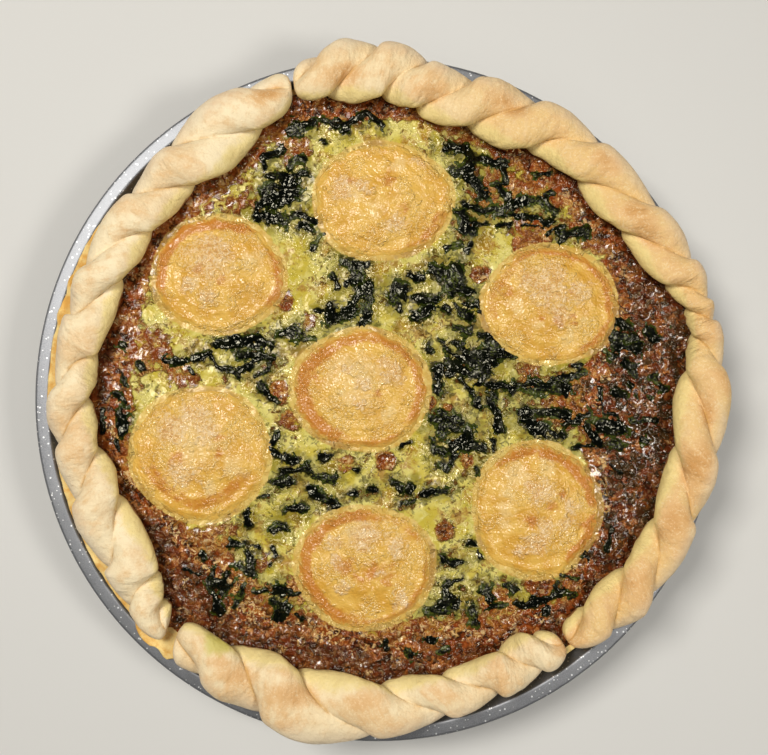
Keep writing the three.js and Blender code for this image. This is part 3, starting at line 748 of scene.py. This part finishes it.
swell = custard.mottle(4.2, pushed, 0) * 0.5 + custard.mottle(1.6, detail=0) * 0.15
swell = swell + crumbly * custard.mottle(1.4, detail=0) * 0.6
swell = swell + amber * (custard.mottle(2.7, pushed, 0) * 2.0 + custard.mottle(1.3, pushed, 0) * 0.5)
swell = swell + rings * 0.15
dry = 1 - crumbly.math("MAXIMUM", amber)
custard_finish = custard.done(colour, 0.12 + dry * 0.16, custard.bump(swell, 0.8))
custard.feed(custard.shader.inputs["Coat Weight"], amber * (0.25 + glassy * 0.6))
custard_piece = piece(skin, "custard_fine", custard_finish, ["filling"])
carry(custard_piece, browned=brown, leafy=leafy, foamy=foamy, mixed=mixed, rim=rim, melting=melting,
      edged=near_cheese * edge_browned)

# The spinach
# Wilted leaves that lie in and on the custard: thin, crumpled and nearly black, with a wet shine
# on their folds. Each is a thin wavy sheet whose edges are sunk into the custard.
LEAF_STEP = 0.5
LEAF_THICKNESS = 0.3
SMALLEST_SCRAP = 5
SPINACH_CLUMPS = 17

# A grid cut down to the leaves' ragged outlines, without the scraps of a few faces.
leaves, middles = flat_grid(OPEN_RADIUS + 13, LEAF_STEP)
cover, lie = leaf_cover(middles)
cover += 0.3 * ripple(lie * (0.35, 1, 1), 1.2, 75) + 0.3 * ripple(middles, 1.5, 70, 2)
shreds = 0.7 * ripple(middles, 2.0, 73) + 0.5 * ripple(middles, 1.0, 74)
holes = 0.5 * smoothstep(0.3, 0.9, ripple(middles, 2.7, 78, 2)) - 0.12
cover = numpy.maximum(cover - holes, 0.35 * cover - 0.3 + 0.75 * shreds)
cut_away(leaves, (cover < 0) | on_cheese(middles, 0.99))
unseen = set(leaves.faces)
scraps = []
while unseen:
    patch = [unseen.pop()]
    for face in patch:
        joined = {near for edge in face.edges for near in edge.link_faces} & unseen
        unseen -= joined
        patch += joined
    if len(patch) < SMALLEST_SCRAP:
        scraps += patch
bmesh.ops.delete(leaves, geom=scraps, context="FACES")

# The folds, over the custard's own relief.
border = [vertex for vertex in leaves.verts if vertex.is_boundary]
for _ in range(2):
    bmesh.ops.smooth_vert(leaves, verts=border, factor=0.5, use_axis_x=True, use_axis_y=True)
sheet = places(leaves)
cover, lie = leaf_cover(sheet)
cover = numpy.clip(cover, 0, 1)
folded = sheet * (1, 1, 0)
folded[:, :2] += numpy.column_stack([1.5 * ripple(folded, 5, seed) for seed in (76, 77)])
folds = 0.5 * (0.55 - numpy.abs(ripple(folded, 3.8, 31, 2)))
folds += 0.65 * (0.55 - numpy.abs(ripple(lie * (0.2, 1, 1), 2.0, 31, 2)))
rise = 0.35 * smoothstep(0, 0.2, cover) + folds * smoothstep(0, 0.3, cover)
sheet[:, 2] = custard_top(sheet, browning(sheet), numpy.ones(len(sheet))) + 0.12 + rise
moved(leaves, sheet)
bmesh.ops.recalc_face_normals(leaves, faces=leaves.faces)
for face in leaves.faces:
    if face.normal.z < 0:
        face.normal_flip()
bmesh.ops.solidify(leaves, geom=leaves.faces[:], thickness=LEAF_THICKNESS)

spinach = Finish("spinach_leaf", Specular_IOR_Level=0.38, Specular_Tint=(1, 0.95, 0.75, 1))
leaf_place = spinach.squeezed(spinach.mask("grain", "Vector"), 0.28)
leaf_fine = spinach.mottle(0.8)
leaf_veins = spinach.mottle(1.8, leaf_place)
leaf_broad = spinach.mottle(7)
thin = (spinach.mask("thin") + (leaf_broad - 0.5) * 2 + (leaf_fine - 0.5) * 1.2).between(0.5, 1.1)
leaf_colour = spinach.layered(
    spinach.blend(leaf_veins.between(0.45, 0.7), (4, 6, 4), (15, 18, 6)),
    (thin * 0.85, (54, 64, 14)),
    ((leaf_fine + leaf_broad - 0.5).between(0.64, 0.76) * 0.8, (84, 92, 32)))
leaf_relief = spinach.mottle(1.8, leaf_place, 0) * 0.6 + spinach.mottle(1.0, detail=0) * 0.25
spinach_finish = spinach.done(leaf_colour, 0.1 + leaf_broad.between(0.4, 0.6) * 0.2,
                              spinach.bump(leaf_relief, 0.75))
cover, lie = leaf_cover(places(leaves))
clumps = [f"spinach_{i + 1}" for i in range(SPINACH_CLUMPS)]
leaf_piece = piece(leaves, "spinach_leaves", spinach_finish, clumps)
carry(leaf_piece, thin=1 - smoothstep(0, 0.6, cover), grain=lie / 1000)

# The goat cheese
# Seven thick slices cut from a log of goat cheese and baked on the custard. Each has melted to a
# low dome inside a raised edge, golden with orange patches and a mottled pale crust in the middle.
ROUND_RINGS = 52
ROUND_SIDES = 220
ROUND_RADIUS = 26
# The section of a round's top and side: the share of the way out, and the height in millimetres.
CHEESE_TOP = [
    (0, 4.1), (0.12, 4.3), (0.32, 4.4), (0.62, 3.2), (0.80, 2.2), (0.88, 2.3), (0.94, 1.7), (1.0, 0.6)]
CHEESE_SIDE = [(1.0, 0.7), (1.0, 0.2), (0.985, -2), (0.97, -CHEESE_DEPTH), (0, -CHEESE_DEPTH)]
# The toasted bands of each round, from its middle: the angle of a band's middle and half its spread
# in degrees, the share of the way out, half the band's width as a share, and how brown it is.
TOASTED_BANDS = [
    [(280, 35, 0.88, 0.07, 0.5), (330, 22, 0.9, 0.12, 0.8)],
    [(128, 75, 0.93, 0.17, 1.3), (355, 34, 0.95, 0.12, 1.0), (75, 25, 0.95, 0.09, 1.0)],
    [(30, 110, 0.93, 0.1, 0.9), (265, 60, 0.95, 0.07, 0.4), (165, 40, 0.85, 0.1, 0.6)],
    [(185, 75, 0.86, 0.15, 1.1), (30, 75, 0.89, 0.12, 0.9), (275, 40, 0.92, 0.08, 0.7),
     (95, 25, 0.84, 0.12, 0.9)],
    [(262, 75, 0.72, 0.11, 0.7), (70, 30, 0.92, 0.07, 0.4), (165, 60, 0.9, 0.06, 0.35)],
    [(170, 100, 0.88, 0.13, 1.0), (310, 70, 0.92, 0.08, 0.7), (55, 30, 0.93, 0.08, 0.6)],
    [(45, 45, 0.93, 0.14, 1.3), (112, 24, 0.95, 0.12, 1.1), (330, 28, 0.97, 0.18, 1.4),
     (200, 60, 0.95, 0.06, 0.4)]]
# Marks on the rounds: pixel of the photograph, and radius in pixels.
TOASTED_MARKS = [
    (390, 183, 11), (403, 206, 8), (352, 182, 7), (507, 291, 8), (541, 317, 5), (557, 321, 5),
    (572, 325, 5), (314, 373, 9), (378, 395, 6), (178, 458, 9), (220, 438, 7), (220, 454, 5),
    (376, 569, 15), (344, 563, 12), (372, 571, 6), (390, 580, 9), (538, 491, 4), (552, 504, 6),
    (563, 494, 5), (530, 520, 9), (200, 268, 6), (222, 280, 7), (577, 287, 3), (569, 295, 4), (573, 316, 4),
    (360, 576, 7), (586, 530, 8)]
CRUSTY_MARKS = [
    (396, 225, 12), (342, 191, 13), (362, 184, 10), (422, 157, 9), (211, 258, 26), (206, 298, 10),
    (188, 286, 8), (217, 240, 8), (549, 287, 24), (561, 315, 12), (581, 295, 13), (525, 279, 11),
    (364, 383, 10), (359, 404, 8), (346, 371, 7), (394, 373, 11), (386, 360, 8), (186, 474, 17),
    (206, 432, 14), (176, 430, 18), (196, 412, 16), (364, 537, 16), (334, 541, 10), (396, 545, 12),
    (336, 560, 10), (342, 587, 9), (400, 601, 9), (382, 573, 5), (542, 490, 15), (526, 488, 8),
    (564, 520, 11), (544, 530, 12), (536, 542, 14), (520, 552, 8), (572, 508, 10)]
PALE_MARKS = [
    (372, 211, 12), (356, 196, 10), (400, 165, 10), (250, 262, 12), (206, 300, 8), (193, 283, 9),
    (517, 309, 9), (537, 325, 8), (569, 339, 11), (585, 322, 7), (356, 379, 32), (389, 413, 11),
    (234, 468, 12), (196, 436, 32), (212, 486, 8), (358, 532, 18), (396, 545, 12), (508, 492, 10),
    (508, 508, 10), (506, 522, 9), (516, 474, 12), (546, 468, 10), (404, 604, 10), (350, 530, 9)]


def marked(rows, marks):
    """How strongly points are marked, from 0 to 1, by round marks with ragged edges."""
    ragged = rows * (1, 1, 0)
    ragged[:, :2] += numpy.column_stack([1.8 * ripple(ragged, 3.6, seed, 2) for seed in (81, 82)])
    strength = numpy.zeros(len(rows))
    for across, down, radius in marks:
        distance = numpy.hypot(*(ragged[:, :2] - from_photo(across, down)).T) / (radius / PIXELS)
        strength = numpy.maximum(strength, 1 - smoothstep(0.1, 1.6, distance))
    return strength


cheese = Finish("goat_cheese", Specular_IOR_Level=0.6)
out = cheese.mask("out")
crusty = cheese.mask("crusty")
cheese_place = cheese.warped(3, 2.0)
clouds = cheese.mottle(9)
curds = cheese.mottle(2.2, cheese_place)
cloud_shift = clouds - 0.5
curd_shift = curds - 0.5
pale = (cheese.mask("pale") + curd_shift * 1.3 + cloud_shift * 1.6).between(0.2, 1.1)
line = 1 - (cheese.mottle(1.5, cheese_place, 1) - 0.5).math("ABSOLUTE").between(0.0, 0.07)
creased = (cheese.mottle(11, cheese_place) + crusty * 0.15 + curd_shift * 0.3).between(0.48, 0.62)
orange = cheese.mask("toasting").math("MAXIMUM", (out - 0.78) * 2) + curd_shift * 0.9 + cloud_shift * 0.8
grainy = curds + (cheese.mottle(0.9, detail=1) - 0.5) * 0.9
flaky = (crusty + curd_shift + cloud_shift * 0.6).between(0.2, 0.9)
lip = (out + curd_shift * 0.2).between(0.88, 1.0) * (clouds + curd_shift * 0.5).between(0.35, 0.55)
burnt = (out + curd_shift * 0.15 + cloud_shift * 0.25).between(0.95, 1.03)
body = cheese.layered(
    cheese.blend(clouds.between(0.38, 0.62), (226, 180, 86), (213, 160, 62)),
    (pale * 0.6, (240, 208, 142)),
    (creased * line * 0.55, (248, 224, 172)),
    (orange.between(0.2, 1.0) * 0.85, (194, 120, 44)),
    (flaky * 0.4, (232, 190, 134)),
    (flaky * grainy.between(0.46, 0.66) * 0.5, (242, 216, 178)),
    (flaky * (1 - grainy.between(0.32, 0.46)) * 0.5, (196, 134, 78)),
    (lip * 0.75, (220, 190, 98)),
    (burnt * 0.45, (162, 108, 42)))
rough_skin = creased.math("MAXIMUM", flaky)
crinkles = cheese.mottle(2.0, cheese_place, 0) * 0.3 + line * 0.05 + cheese.mottle(0.9, detail=0) * 0.8
cheese_finish = cheese.done(body, 0.24 - rough_skin * 0.12,
                            cheese.bump(crinkles * (0.35 + 0.65 * rough_skin), 1.1))

cheese_profile = []
for (inner, low), (outer, high) in zip(CHEESE_TOP, CHEESE_TOP[1:]):
    steps = max(1, round((outer - inner) * ROUND_RINGS))
    for share in [i / steps for i in range(steps)]:
        height = low + (high - low) * smoothstep(0, 1, share)
        cheese_profile.append((inner + (outer - inner) * share, height))
cheese_profile += CHEESE_SIDE

for number, (x, y, half_x, half_y) in enumerate(CHEESE_ROUNDS):
    skin = spun(cheese_profile, ROUND_SIDES)
    rows = places(skin)
    radius, angle = polar(rows)
    upper = rows[:, 2] > 0
    tilt = radius * cheese_tilt(angle, number)
    along_edge = ROUND_RADIUS * numpy.column_stack([numpy.cos(angle), numpy.sin(angle), 0 * angle])
    along_edge += (0, 0, 31 * number)
    outline = cheese_outline(angle, number)
    outline *= 1 + smoothstep(0.7, 1, radius) * (0.026 * ripple(along_edge, 6, 47, 3) - 0.008)
    rows[:, 0] = x + rows[:, 0] * half_x * outline
    rows[:, 1] = y + rows[:, 1] * half_y * outline
    flat = rows * (1, 1, 0) + (0, 0, 50 * number)
    rim = smoothstep(0.86, 0.95, radius)
    centre = 1 - smoothstep(0.3, 0.55, radius)

    # The top's low waves, veins, pits in the middle and rings near the edge.
    wavy = 0.55 * ripple(flat, 9, 41, 2) + 0.3 * ripple(flat, 3.0, 42, 2)
    veins = 0.22 * (1 - numpy.abs(ripple(flat, 4.5, 43, 2)))
    pits = 0.3 * centre * ripple(flat, 1.7, 44, 2)
    rings = 0.09 * numpy.sin(52 * radius + 3 * ripple(flat, 8, 48)) * smoothstep(0.5, 0.7, radius)
    rows[:, 2] += FILLING_LEVEL + upper * (tilt + (1 - rim) * (wavy + veins + pits + rings) - 0.3)
    rows[:, 2] += upper * rim * 0.4 * ripple(flat, 2.6, 45)
    moved(skin, rows)

    # Where it is toasted.
    toasted = 0.8 * marked(rows, TOASTED_MARKS)
    for towards, spread, share, half, strength in TOASTED_BANDS[number]:
        aside = numpy.abs((numpy.degrees(angle) - towards + 180) % 360 - 180)
        band = 1 - smoothstep(0.4, 1.4, numpy.abs(radius + 0.03 * ripple(flat, 5, 46) - share) / half)
        toasted = numpy.maximum(toasted, strength * band * (1 - smoothstep(0.7, 1.2, aside / spread)))
    not_edge = 1 - smoothstep(0.93, 1.0, radius)
    name = f"goat_cheese_{number + 1}"
    round_piece = piece(skin, name + "_fine", cheese_finish, [name])
    carry(round_piece, out=radius, toasting=toasted, crusty=marked(rows, CRUSTY_MARKS) * not_edge,
          pale=marked(rows, PALE_MARKS) * not_edge)

# The crust
# Two strands of dough twisted round each other and laid along the rim in three lengths, baked to
# a pale gold. It is puffy, creased where the strands meet, and toasted on the highest folds.
ROPE_BASE = TIN_HEIGHT + 0.4
ROPE_HEIGHT = 12.0
ROPE_RADIUS = 134
ROPE_STEP = 0.62
ROPE_SIDES = 108
CREASE_SPACING = 14
DOUGH_RADIUS = 9
GROOVE_WIDTH = 0.1
HEIGHT_PER_WIDTH = 0.27
ROPE_SAG = 0.38
STRAND_RADIUS = 1.5
CROSSING_SOFTNESS = 0.35
NOTCH_DEPTH = 0.08
STRAND_SAG = 0.2
END_TAPER = 3.2
# Where the custard has stained the dough green: angle, distance from the crust's centre, radius, and
# how many millimetres a degree is there.
STAIN_ANGLE = 236.5
STAIN_REACH = 128.0
STAIN_RADIUS = 6.0
STAIN_DEGREE = 2.2
# Each crease between two strands: the angles at which it leaves the rope's inner and outer edge, its
# middle's distance from the crust's centre, and half of the rope's width there. The ends of a rope cut
# through the middle of its first and last crease.
RIGHT_CREASES = [
    (311.6, 298.2, 133.1, 7.1), (323, 313, 134.7, 11.8), (333.3, 322.3, 136.4, 10.8),
    (348.5, 336.8, 135.7, 11), (363.2, 348.3, 135.9, 12.6), (369.7, 363.7, 138.7, 8.4),
    (374.8, 372.4, 139.7, 6.5), (380, 376, 138.9, 7.7), (393.5, 383.5, 133.8, 11.5),
    (406.7, 393.7, 130.8, 12.6), (418.8, 408.8, 132.3, 11.9), (432, 422.5, 128.8, 13.5),
    (443.8, 434.3, 128.9, 12.7), (450.5, 442, 135.7, 13.7), (460.5, 451, 138.3, 13.9),
    (474.7, 461.1, 137.9, 8.8)]
LEFT_CREASES = [
    (99.9, 115, 136.4, 8.6), (116.3, 131.6, 131.3, 14.9), (133.8, 142, 130.2, 11.1),
    (146.8, 158, 131.3, 11.6), (157.7, 165, 132.3, 11), (174.6, 179.3, 134.5, 9.2),
    (182.3, 189.3, 135.9, 10.8), (192, 199.5, 132.7, 11.9), (202.3, 211.5, 132.4, 12.9),
    (219.5, 220, 136.7, 8.9), (223.7, 240, 139.5, 8.3)]
BOTTOM_CREASES = [
    (213.6, 236.8, 138.9, 9.9), (240.3, 248.3, 136.4, 14.3), (253.8, 268, 138.8, 16), (270, 281, 134.5, 12),
    (282, 290.3, 132.1, 11), (294.5, 299.5, 129.7, 11.5), (301.7, 310.3, 132.9, 7.3)]
# Where the crust is toasted: from and to which angle, how far from its centre, and how strongly.
TOASTED_FOLDS = [
    (341, 352, 130, 142, 1.1), (333, 338, 128, 140, 1.0), (322, 326, 130, 138, 0.9),
    (354, 360, 134, 141, 1.0), (20, 27, 130, 138, 0.6), (29, 37, 125, 134, 1.0), (44, 48, 132, 137, 0.9),
    (55, 60, 130, 136, 0.6), (63, 70, 128, 136, 1.0), (80, 84, 127, 132, 0.8), (88, 92, 130, 137, 0.5),
    (95, 102, 132, 138, 0.8), (110, 115, 133, 138, 1.0), (148, 152, 130, 134, 0.7),
    (238, 244, 132, 140, 0.8), (250, 256, 131, 138, 0.8), (262, 268, 128, 136, 0.6),
    (276, 282, 127, 134, 0.6), (303, 308, 128, 136, 0.7)]


def along_rows(table, column, place):
    """A column of a table, read between its rows as a smooth curve, and straight on past its ends."""
    known = [row[column] for row in table]
    first, final = known[1] - known[0], known[-1] - known[-2]
    before_it = [known[0] - 2 * first, known[0] - first]
    after_it = [known[-1] + final, known[-1] + 2 * final]
    values = numpy.array(before_it + known + after_it)
    before, after = numpy.diff(values)[:-1], numpy.diff(values)[1:]
    slopes = numpy.zeros(len(values))
    same_way = before * after > 0
    slopes[1:-1][same_way] = (2 * before * after)[same_way] / (before + after)[same_way]
    i = numpy.clip(numpy.floor(place + 2).astype(int), 1, len(values) - 3)
    share = place + 2 - i
    rise = smoothstep(0, 1, share)
    curve = values[i] * (1 - rise) + values[i + 1] * rise
    return curve + slopes[i] * share * (1 - share) ** 2 - slopes[i + 1] * share * share * (1 - share)


dough = Finish("crust_dough", Specular_IOR_Level=0.3)
strand = dough.mask("grain", "Vector")
dough_broad = dough.mottle(15)
dough_mid = dough.mottle(3.4, detail=3)
dough_fine = dough.mottle(0.8, roughness=0.6)
fibres = dough.mottle(1.5, dough.squeezed(strand, 0.22), 3, 0.6)
wrinkles = dough.mottle(6, dough.squeezed(strand, 3.2))
broad_shift = dough_broad - 0.5
mid_shift = dough_mid - 0.5
fibre_shift = fibres - 0.5
toast = dough.mask("toast") + mid_shift * 0.5 + broad_shift * 0.9 + fibre_shift * 0.6
creased = dough.mask("crease") * (dough_broad + mid_shift * 0.6).between(0.3, 0.6)
eggy_edge = (dough.mask("eggy") + mid_shift * 0.8).between(0.25, 0.9)
soaked = (dough.mask("soaked") + mid_shift * 0.7 + fibre_shift * 0.8).between(0.35, 0.8)
cream = dough.layered(
    dough.blend(dough_broad.between(0.38, 0.62), (244, 225, 186), (233, 205, 161)),
    (dough.mask("golden") * 0.8, (229, 186, 112)),
    (dough_mid.between(0.5, 0.7) * 0.4, (244, 218, 172)),
    (toast.between(0.15, 0.65) * 0.75, (227, 181, 124)),
    (toast.between(0.5, 1.15) * 0.85, (204, 146, 78)),
    ((dough_fine * 0.5 + dough_mid * 0.5).between(0.48, 0.66) * 0.3, (214, 172, 114)),
    ((1 - (dough_fine * 0.7 + dough_mid * 0.3).between(0.36, 0.48)) * 0.4, (250, 228, 184)),
    # Painted light: the rope's outer side is made pale greyish-pink, as cool light falling on it makes it
    # look.
    (dough.mask("floury") * 0.5, (230, 210, 182)),
    # Partly painted shade: the creases between the strands are made a darker gold, partly the dough's own
    # colour there and partly the shade that falls in them.
    (creased * 0.7, (196, 148, 70)),
    (eggy_edge * 0.8, (240, 217, 144)),
    (dough.mask("stained") * 0.7, (196, 186, 74)),
    (soaked * 0.9, (142, 76, 30)))
dough_relief = dough_fine * 0.25 + dough_mid * 0.45 + fibres * 0.15 + wrinkles * 0.8
dough_finish = dough.done(cream, 0.55 + (dough_fine - 0.5) * 0.3, dough.bump(dough_relief, 1.1))


def rope(name, creases, direction, golden):
    """A length of crust. With direction 1 its creases run inwards as the angle grows."""
    count = len(creases) - 1
    rings = int(math.radians(creases[-1][0] - creases[0][0]) * ROPE_RADIUS / ROPE_STEP)
    skin = bmesh.new()
    bmesh.ops.create_cone(skin, cap_ends=True, segments=ROPE_SIDES, radius1=1, radius2=1, depth=count)
    uprights = [edge for edge in skin.edges if abs(edge.verts[0].co.z - edge.verts[1].co.z) > 0.5]
    bmesh.ops.subdivide_edges(skin, edges=uprights, cuts=rings, use_grid_fill=True)
    rows = places(skin)
    place = numpy.clip(rows[:, 2] + count / 2, 0, count)
    _, around = polar(rows)
    turn = direction * math.pi * place
    angle = around + turn
    strands = numpy.abs(numpy.cos(around)) + numpy.sqrt(STRAND_RADIUS ** 2 - numpy.sin(around) ** 2)
    inner_angle = along_rows(creases, 0, place - direction / 2)
    outer_angle = along_rows(creases, 1, place + direction / 2)
    middle = (inner_angle + outer_angle) / 2
    from_end = numpy.minimum(middle - middle.min(), middle.max() - middle) / END_TAPER
    taper = 0.3 + 0.7 * numpy.sqrt(1 - (1 - numpy.minimum(1, from_end)) ** 2)
    half_width = along_rows(creases, 3, place)
    tall = ROPE_HEIGHT + HEIGHT_PER_WIDTH * 2 * half_width

    # Puffs, wrinkles and the groove between the strands, as shares of a strand's thickness.
    surface = numpy.column_stack([place * CREASE_SPACING, DOUGH_RADIUS * numpy.cos(around),
                                  DOUGH_RADIUS * numpy.sin(around)])
    seed = 60 + count
    puff = 0.05 * ripple(surface, 9, seed, 2)
    wrinkle = 1 - smoothstep(0.0, 0.22, numpy.abs(ripple(surface * (0.28, 1, 1), 2.4, seed + 3, 2)))
    puff -= 0.014 * wrinkle * smoothstep(-0.2, 0.5, ripple(surface, 13, seed + 7))
    patchy = smoothstep(-0.3, 0.5, ripple(surface, 11, seed + 8))
    puff += 0.012 * ripple(surface * (3.6, 1, 1), 6, seed + 9, 2) * (0.3 + 0.7 * patchy)
    groove = numpy.exp(-(numpy.cos(around) / GROOVE_WIDTH) ** 2)
    strands = strands * (1 + puff - 0.04 * groove)

    # The turning pair of strands, laid along the rim.
    out_way = taper * half_width * (1 - NOTCH_DEPTH * numpy.sin(turn) ** 2) * strands * numpy.cos(angle)
    out_way /= numpy.hypot(numpy.cos(turn), CROSSING_SOFTNESS) + STRAND_RADIUS
    up = taper * tall / 2 * (1 - STRAND_SAG * numpy.cos(turn) ** 2) * strands * numpy.sin(angle)
    up /= numpy.hypot(numpy.sin(turn), CROSSING_SOFTNESS) + STRAND_RADIUS
    reach = along_rows(creases, 2, place) + out_way
    outwards = numpy.clip(out_way / half_width, -1, 1)
    bearing = numpy.radians(inner_angle + (outer_angle - inner_angle) * (1 + outwards) / 2)
    rows = numpy.column_stack([CRUST_CENTRE[0] + reach * numpy.cos(bearing),
                               CRUST_CENTRE[1] + reach * numpy.sin(bearing),
                               ROPE_BASE + numpy.maximum(0, up + ROPE_SAG * tall)])
    moved(skin, rows)
    bmesh.ops.recalc_face_normals(skin, faces=skin.faces)

    # What the finish reads: golden and toasted folds, creases, what the custard has wetted, and the painted
    # cool light on the rope's outer side.
    outward = out_way / half_width
    height = (rows[:, 2] - ROPE_BASE) / tall
    golden = golden * (1 - 0.7 * smoothstep(60, 92, inner_angle - 360))
    patches = 0.75 + 0.5 * ripple(surface, 12, seed + 5, 2) + 0.25 * outwards
    toasted = (0.38 + 0.2 * golden) * smoothstep(0.35, 0.9, height) * patches
    for first, final, nearest, farthest, strength in TOASTED_FOLDS:
        aside = (numpy.degrees(bearing) - (first + final) / 2 + 180) % 360 - 180
        apart = reach - (nearest + farthest) / 2
        distance = numpy.hypot(aside / (final - first + 3), apart / (farthest - nearest + 4)) * 2
        distance += 0.35 * ripple(surface * (0.5, 1, 1), 5, seed + 11, 2)
        fold = 0.9 * strength * (1 - smoothstep(0.1, 1.9, distance)) * smoothstep(0.25, 0.6, height)
        toasted = numpy.maximum(toasted, fold)
    above_custard = rows[:, 2] - ROPE_BASE + ripple(rows, 3, 8)
    beside_stain = (numpy.degrees(bearing) - STAIN_ANGLE) * STAIN_DEGREE
    stain = numpy.hypot(reach - STAIN_REACH, beside_stain) / STAIN_RADIUS
    stain += 0.4 * ripple(rows, 3, 12, 2)
    # Patches over which the painted cool light on the rope's outer side is laid.
    flour = smoothstep(0.0, 0.5, ripple(surface, 16, seed + 6) + 0.5)
    made = piece(skin, name + "_fine", dough_finish, [name])
    carry(made, golden=golden, toast=toasted, grain=surface / 1000,
          crease=1 - smoothstep(0.0, 0.16, numpy.abs(numpy.cos(around))),
          soaked=smoothstep(0.72, 0.95, -outward) * (1 - smoothstep(3.5, 6.5, above_custard)),
          floury=smoothstep(0.2, 0.9, outward) * flour,
          eggy=smoothstep(0.1, 0.9, -outward) * (1 - smoothstep(0.55, 0.9, height)),
          stained=1 - smoothstep(0.4, 1.3, stain))


rope("crust_rope_right", RIGHT_CREASES, 1, 1.0)
rope("crust_rope_left", LEFT_CREASES, -1, 0.0)
rope("crust_rope_bottom", BOTTOM_CREASES, -1, 0.15)

# The floor, the light and the camera
# A plain pale floor, a soft lamp like a window at the upper left, a weaker one at the right and a
# wide one overhead that leaves no glints, and a camera that looks straight down from 488 mm.
CAMERA_SPOT = (0.00306, 0.00967, 0.488)
CAMERA_LENS = 48.19
SENSOR_WIDTH = 36
LAMP_COLOUR = (1.0, 0.98, 0.93)
# Each lamp: name, place and width in metres, power in watts, and whether gloss shows it.
LAMPS = [
    ("window", (-0.42, 0.32, 1.1), 0.36, 10.2, True),
    ("side", (0.55, -0.12, 0.9), 0.22, 3.5, True),
    ("overhead", (0.1, -0.1, 1.2), 1.2, 3.0, False)]
SKY_COLOUR = (0.92, 0.96, 1.0, 1)
SKY_STRENGTH = 0.03
FLOOR_REACH = 1.5

floor_skin = bmesh.new()
bmesh.ops.create_grid(floor_skin, x_segments=1, y_segments=1, size=FLOOR_REACH)
floor_mesh = bpy.data.meshes.new("floor")
floor_skin.to_mesh(floor_mesh)
floor_skin.free()
paper = Finish("floor_paper", Roughness=0.9)
paper.shader.inputs["Base Color"].default_value = tint(214, 212, 208)
floor_mesh.materials.append(paper.material)
floor = bpy.data.objects.new("floor", floor_mesh)
bpy.context.scene.collection.objects.link(floor)

world = bpy.data.worlds.new("sky")
world.use_nodes = True
sky = world.node_tree.nodes["Background"]
sky.inputs["Color"].default_value = SKY_COLOUR
sky.inputs["Strength"].default_value = SKY_STRENGTH
bpy.context.scene.world = world

for name, spot, size, power, glints in LAMPS:
    light = bpy.data.lights.new(name, "AREA")
    light.size = size
    light.energy = power
    light.color = LAMP_COLOUR
    lamp = bpy.data.objects.new(name, light)
    lamp.location = spot
    lamp.visible_glossy = glints
    lamp.rotation_euler = (-lamp.location).to_track_quat("-Z", "Y").to_euler()
    bpy.context.scene.collection.objects.link(lamp)

camera_data = bpy.data.cameras.new("camera")
camera_data.lens = CAMERA_LENS
camera_data.sensor_width = SENSOR_WIDTH
camera_data.clip_start = 0.01
camera = bpy.data.objects.new("camera", camera_data)
camera.location = CAMERA_SPOT
bpy.context.scene.collection.objects.link(camera)
bpy.context.scene.camera = camera
bpy.context.scene.view_settings.view_transform = "Standard"
